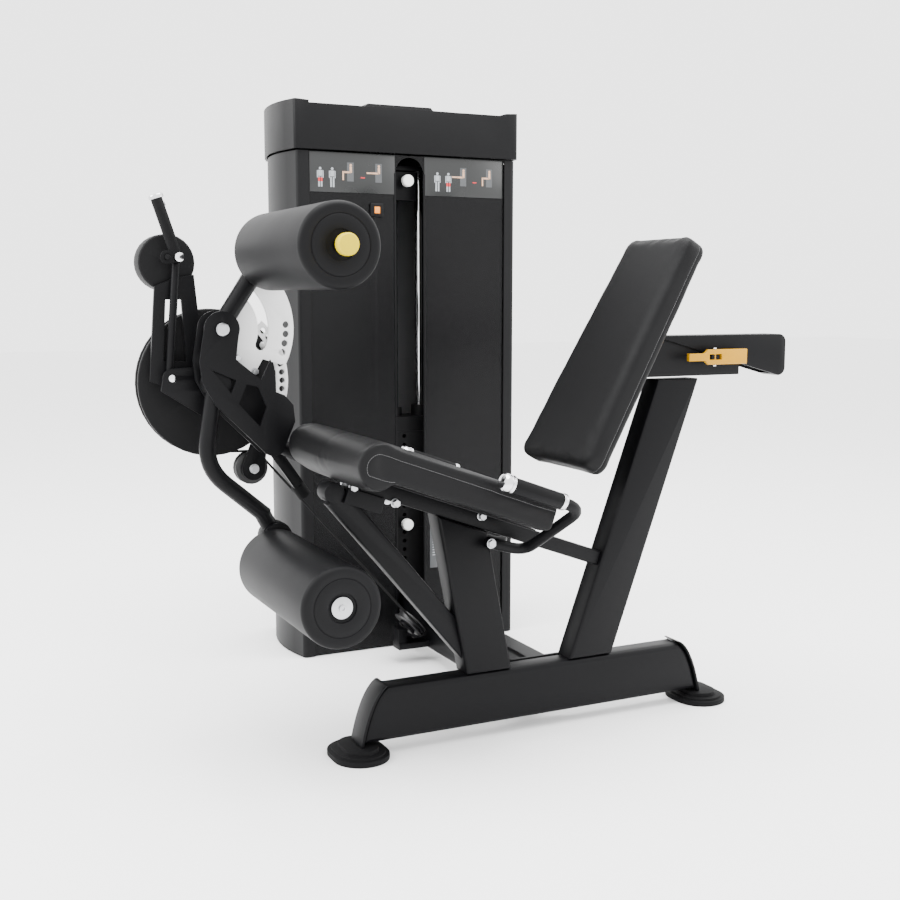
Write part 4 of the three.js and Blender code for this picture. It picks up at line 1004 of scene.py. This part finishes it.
@dataclass
class Fasteners:
    """The bright bolts of the seat and the pivots, and the bright ends of the paddle's pin."""

    seat_places: tuple[tuple[float, float], ...] = ((0.035, -0.056), (0.140, -0.061), (0.351, -0.032))
    rail_half: float = 0.020
    handle_place: tuple[float, float] = (0.3768, -0.0826)
    handle_foot: float = 0.0255
    plate_places: tuple[tuple[float, float], ...] = ((0.0345, 0.049), (0.0745, 0.017))
    idler_bracket: float = 0.020
    pin_place: float = 0.0765
    pin_radius: float = 0.0052
    pin_end: float = 0.003
    pin_soft: float = 0.0008
    pin_sunk: float = 0.002

    def centre_line(self) -> float:
        """Give the middle of the machine's main frame, across."""
        low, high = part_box("base_beam")
        return (low[1] + high[1]) / 2

    def seat(self) -> None:
        """Build the bolts along the seat rail and through the handle's foot."""
        for side, label in ((-1, "near"), (1, "far")):
            out = Vector((0, side, 0))
            bolts = []
            for along, above in self.seat_places:
                start = SEAT.point(along, 0, above)
                start.y = self.centre_line() + side * self.rail_half
                bolts.append(hex_bolt(start, out, 0.015, 0.012))
            keep(joined(bolts), f"seat_bolts_{label}", "frame", ZINC)
            low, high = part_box("front_post")
            post_half = (high[1] - low[1]) / 2
            start = SEAT.point(self.handle_place[0], 0, self.handle_place[1])
            start.y = self.centre_line() + side * (post_half + self.handle_foot)
            keep(hex_bolt(start, out, 0.017, 0.006), f"handle_bolt_{label}", "frame", ZINC)

    def pivots(self) -> None:
        """Build the heads on the arm's pivot, the lock plate and the idler pulley."""
        out = Vector((0, -1, 0))
        low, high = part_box("arm_pivot_bolt")
        centre = Vector(((low[0] + high[0]) / 2, low[1], (low[2] + high[2]) / 2))
        profile = rounded_rod(0.0135, 0.003, 0.0012) + [(0.009, 0.003), (0.0085, 0.0022)]
        keep(turned(profile, centre, out, 40), "arm_pivot_cap", "frame", ZINC)
        plate_low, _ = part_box("arm_lock_plate")
        bolts = [
            hex_bolt(Vector((plate_low[0] + dx, plate_low[1], plate_low[2] + dz)), out, 0.013, 0.010)
            for dx, dz in self.plate_places
        ]
        keep(joined(bolts), "lock_plate_bolts", "frame", ZINC)
        low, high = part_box("idler_pulley")
        centre = Vector(((low[0] + high[0]) / 2, low[1] - self.idler_bracket, (low[2] + high[2]) / 2))
        keep(hex_bolt(centre, out, 0.018, 0.008), "idler_bolt", "frame", ZINC)

    def paddle(self) -> None:
        """Build the two bright ends of the paddle's pin."""
        low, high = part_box("paddle_lever")
        x = low[0] + self.pin_place
        y = (low[1] + high[1]) / 2
        profile = rounded_rod(self.pin_radius, self.pin_end, self.pin_soft)
        ends = [
            turned(profile, Vector((x, y, z)), Vector((0, 0, way)), 20)
            for z, way in ((high[2] - self.pin_sunk, 1), (low[2] + self.pin_sunk, -1))
        ]
        keep(joined(ends), "paddle_pin_ends", "paddle", CHROME)


# ---------------------------------------------------------------- tower


@dataclass
class ExerciseCards:
    """The two dark cards beside the slot, with plain figures that show the exercise."""

    height: float = 0.106
    thick: float = 0.0012
    raised: float = 0.0005
    slot_half: float = 0.0415
    edge: float = 0.003

    def card(self, name: str, x1: float, x2: float, y: float, z1: float, z2: float) -> None:
        """Build one card on the front panel."""
        piece = block((x1, y - self.thick, z1), (x2, y, z2), 0.0005)
        keep(piece, name, "frame", PRINT_BLACK)

    def patch(self, x: float, z: float, width: float, height: float, y: float) -> Piece:
        """Build one raised patch of print, centred on a point."""
        low = (x - width / 2, y - self.raised, z - height / 2)
        return block(low, (x + width / 2, y, z + height / 2), 0.0002, 1)

    def disc(self, x: float, z: float, radius: float, y: float) -> Piece:
        """Build one raised dot of print."""
        return turned([(radius, 0), (radius, self.raised)], Vector((x, y, z)), Vector((0, -1, 0)), 16)

    def standing(self, x: float, z: float, y: float) -> list[Piece]:
        """Build a plain standing figure 50 mm tall.

        Args:
            x: its middle.
            z: its middle height.
            y: the card's face.

        Returns:
            The pieces of the figure.
        """
        parts = [self.disc(x, z + 0.0225, 0.0036, y), self.patch(x, z + 0.010, 0.0115, 0.0155, y)]
        for side in (-1, 1):
            parts.append(self.patch(x + side * 0.0080, z + 0.0075, 0.0028, 0.0190, y))
            parts.append(self.patch(x + side * 0.0036, z - 0.0125, 0.0048, 0.0265, y))
        return parts

    def seated(self, x: float, z: float, y: float, leg: float) -> tuple[list[Piece], list[Piece]]:
        """Build a plain seated figure and its seat.

        Args:
            x: middle of the seat.
            z: middle of the seat.
            y: the card's face.
            leg: how high the shin is held, from 0 hanging to 1 straight out.

        Returns:
            The pieces of the seat, and the pieces of the figure.
        """
        seat = [self.patch(x + 0.004, z, 0.019, 0.050, y)]
        over = y - self.raised
        drop = 0.019 * (1 - leg)
        shin_x = x - 0.017 - 0.006 * leg
        shin_z = z - 0.001 - drop / 2
        figure = [
            self.disc(x + 0.005, z + 0.018, 0.0034, over),
            self.patch(x + 0.005, z + 0.006, 0.0068, 0.0165, over),
            self.patch(x - 0.006, z - 0.001, 0.0200, 0.0048, over),
            self.patch(shin_x, shin_z, 0.0046 + 0.012 * leg, 0.0046 + drop, over),
        ]
        return seat, figure

    def build(self) -> None:
        """Build both cards with their figures."""
        left_low, left_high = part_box("front_panel_left")
        _, right_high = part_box("front_panel_right")
        middle = (left_low[0] + right_high[0]) / 2
        y = left_low[1] - 0.0002
        top = left_high[2]
        low = top - self.height
        left_start = left_low[0] + self.edge
        right_start = middle + self.slot_half + self.edge
        self.card("exercise_card_left", left_start, middle - self.slot_half - self.edge, y, low, top)
        self.card("exercise_card_right", right_start, right_high[0] - self.edge, y, low, top)
        face = y - self.thick
        height = (low + top) / 2
        grey, red, slate, tan = [], [], [], []
        over = face - self.raised
        for left, shift in ((left_start, 0.0), (right_start, 0.010)):
            for i in range(2):
                x = left + 0.030 + 0.034 * i + shift
                grey += self.standing(x, height - 0.014, face)
            red_x = left + 0.030 + (0.034 if shift else 0.0) + shift
            for side in (-1, 1):
                red.append(self.patch(red_x + side * 0.0036, height - 0.0205, 0.0052, 0.0100, over))
            for i, leg in enumerate((0.0, 1.0) if not shift else (1.0, 0.0)):
                x = left + 0.112 + 0.082 * i + shift * 0.4
                seat, figure = self.seated(x, height + 0.002, face, leg)
                slate += seat
                tan += figure
            red.append(self.patch(left + 0.152 + shift * 0.4, height - 0.012, 0.012, 0.003, face))
        keep(joined(grey), "card_standing_figures", "frame", PRINT_GREY)
        keep(joined(red), "card_marks", "frame", PRINT_RED)
        keep(joined(slate), "card_seats", "frame", PRINT_SLATE)
        keep(joined(tan), "card_seated_figures", "frame", PRINT_TAN)


@dataclass
class TowerTrim:
    """The slot's lining, the weight scale and the small orange switch box."""

    slot_half: float = 0.0415
    lip: float = 0.006
    scale_rows: int = 15
    scale_base: float = 0.250
    scale_shift: float = 0.036
    row_step: float = 0.0075

    def lining(self) -> None:
        """Build the dark lip down both sides of the slot."""
        low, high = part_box("front_panel_left")
        middle = (low[0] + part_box("front_panel_right")[1][0]) / 2
        strips = []
        for side in (-1, 1):
            x1 = middle + side * (self.slot_half - 0.0005)
            x2 = x1 + side * self.lip
            corner = (min(x1, x2), low[1] - 0.0016, low[2])
            strips.append(block(corner, (max(x1, x2), low[1] - 0.0002, high[2] - 0.048), 0.0006))
        keep(joined(strips), "slot_trim", "frame", BLACK_POWDER)

    def weight_scale(self) -> None:
        """Build the strip of rows beside the slot that marks the weights."""
        low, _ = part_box("front_panel_right")
        x = low[0] + self.slot_half + self.scale_shift
        y = low[1] - 0.0002
        base = self.scale_base
        strip = block((x - 0.018, y - 0.0008, base - 0.032), (x + 0.018, y, base + 0.150), 0.0004)
        keep(strip, "weight_scale_strip", "frame", PRINT_SLATE)
        rows = []
        for i in range(self.scale_rows):
            z = base + 0.004 + i * self.row_step
            rows.append(block((x - 0.010, y - 0.0012, z), (x + 0.010, y - 0.0009, z + 0.0028), 0.0001, 1))
        keep(joined(rows), "weight_scale_rows", "frame", PRINT_GREY)
        mark = block((x - 0.008, y - 0.0014, base + 0.124), (x + 0.002, y - 0.0009, base + 0.140), 0.0002, 1)
        keep(mark, "weight_scale_mark", "frame", PRINT_ORANGE)

    def switch_box(self) -> None:
        """Build the small black box with its orange mark on the left panel."""
        low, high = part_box("front_panel_left")
        x = high[0] - 0.100
        y = low[1] - 0.0002
        z = high[2] - 0.150
        box = block((x - 0.019, y - 0.009, z - 0.018), (x + 0.019, y, z + 0.018), 0.003, 3)
        keep(box, "counter_box", "frame", CAP_ABS)
        mark = block((x - 0.008, y - 0.0102, z - 0.009), (x + 0.008, y - 0.0092, z + 0.009), 0.001, 2)
        keep(mark, "counter_mark", "frame", PRINT_ORANGE)

    def build(self) -> None:
        """Build the tower's trim."""
        self.lining()
        self.weight_scale()
        self.switch_box()


@dataclass
class SeatBoard:
    """The thin board that the seat pad is stapled to."""

    thick: float = 0.0036
    clearance: float = 0.0004
    front: float = 0.052
    rear: float = 0.404
    half_width: float = 0.190
    underside: float = -0.022

    def build(self) -> None:
        """Build the board under the pad."""
        top = self.underside - self.clearance
        flat = block(
            (self.front, -self.half_width, top - self.thick), (self.rear, self.half_width, top), 0.001,
        )
        turn = Matrix.Rotation(SEAT.tilt, 4, "Y")
        flat.matrix_world = Matrix.Translation(SEAT.centre()) @ turn
        keep(flat, "seat_board", "frame", COVER_ABS)


# ---------------------------------------------------------------- studio


@dataclass
class Studio:
    """The pale floor, the soft lights and the camera."""

    camera_place: Point = (-1.3275, -2.82796, 1.0)
    camera_turn: Point = (82.8, 0.0, -25.86)
    lens: float = 49.04
    floor_size: float = 40.0

    def floor(self) -> None:
        """Build the pale floor."""
        begin()
        bpy.ops.mesh.primitive_plane_add(size=self.floor_size, location=(0, 0, 0))
        floor = bpy.context.object
        floor.name = "studio_floor"
        material = bpy.data.materials.new("studio_floor")
        material.use_nodes = True
        shader = material.node_tree.nodes["Principled BSDF"]
        shader.inputs["Base Color"].default_value = (0.93, 0.93, 0.93, 1)
        shader.inputs["Roughness"].default_value = 0.7
        floor.data.materials.append(material)

    def light(self, name: str, place: Point, target: Point, size: float, power: float) -> None:
        """Add one soft light that faces a point.

        Args:
            name: its name.
            place: where it stands.
            target: the point that it faces.
            size: the width of its panel.
            power: its power in watts.
        """
        lamp = bpy.data.lights.new(name, "AREA")
        lamp.size = size
        lamp.energy = power
        holder = bpy.data.objects.new(name, lamp)
        holder.location = place
        way = Vector(target) - Vector(place)
        holder.rotation_euler = way.to_track_quat("-Z", "Y").to_euler()
        bpy.context.scene.collection.objects.link(holder)

    def build(self) -> None:
        """Build the studio and set the camera."""
        self.floor()
        self.light("key_light", (-3.4, 0.2, 2.8), (0, 0, 0.7), 2.4, 150)
        self.light("top_light", (0.2, -0.6, 4.6), (0, 0, 0), 4.0, 420)
        self.light("right_light", (3.6, -1.8, 2.2), (0, 0, 0.7), 2.0, 45)
        world = bpy.data.worlds.new("studio")
        world.use_nodes = True
        background = world.node_tree.nodes["Background"]
        background.inputs["Color"].default_value = (1, 1, 1, 1)
        background.inputs["Strength"].default_value = 3.2
        bpy.context.scene.world = world
        camera = bpy.data.cameras.new("camera")
        camera.lens = self.lens
        camera.sensor_width = 36
        holder = bpy.data.objects.new("camera", camera)
        holder.location = self.camera_place
        holder.rotation_euler = tuple(math.radians(turn) for turn in self.camera_turn)
        bpy.context.scene.collection.objects.link(holder)
        bpy.context.scene.camera = holder


# ---------------------------------------------------------------- assembly


def main() -> None:
    """Build the studio, dress the frame and add every piece."""
    logging.basicConfig(level=logging.INFO, format="%(name)s: %(message)s")
    Studio().build()
    FrameDressing().dress()
    SeatCushion("seat_pad", "seat_cushion", "frame").build()
    BackCushion("backrest_pad", "backrest_cushion", "backrest").build()
    FoamRoller("upper_roller", "upper_foam_roller", "upper_roller").build()
    FoamRoller("lower_roller", "lower_foam_roller", "lower_roller").build()
    RollerFittings().build()
    SeatGrips().build()
    ReleaseGrip().build()
    fasteners = Fasteners()
    fasteners.seat()
    fasteners.pivots()
    fasteners.paddle()
    ExerciseCards().build()
    TowerTrim().build()
    SeatBoard().build()


if __name__ == "__main__":
    main()
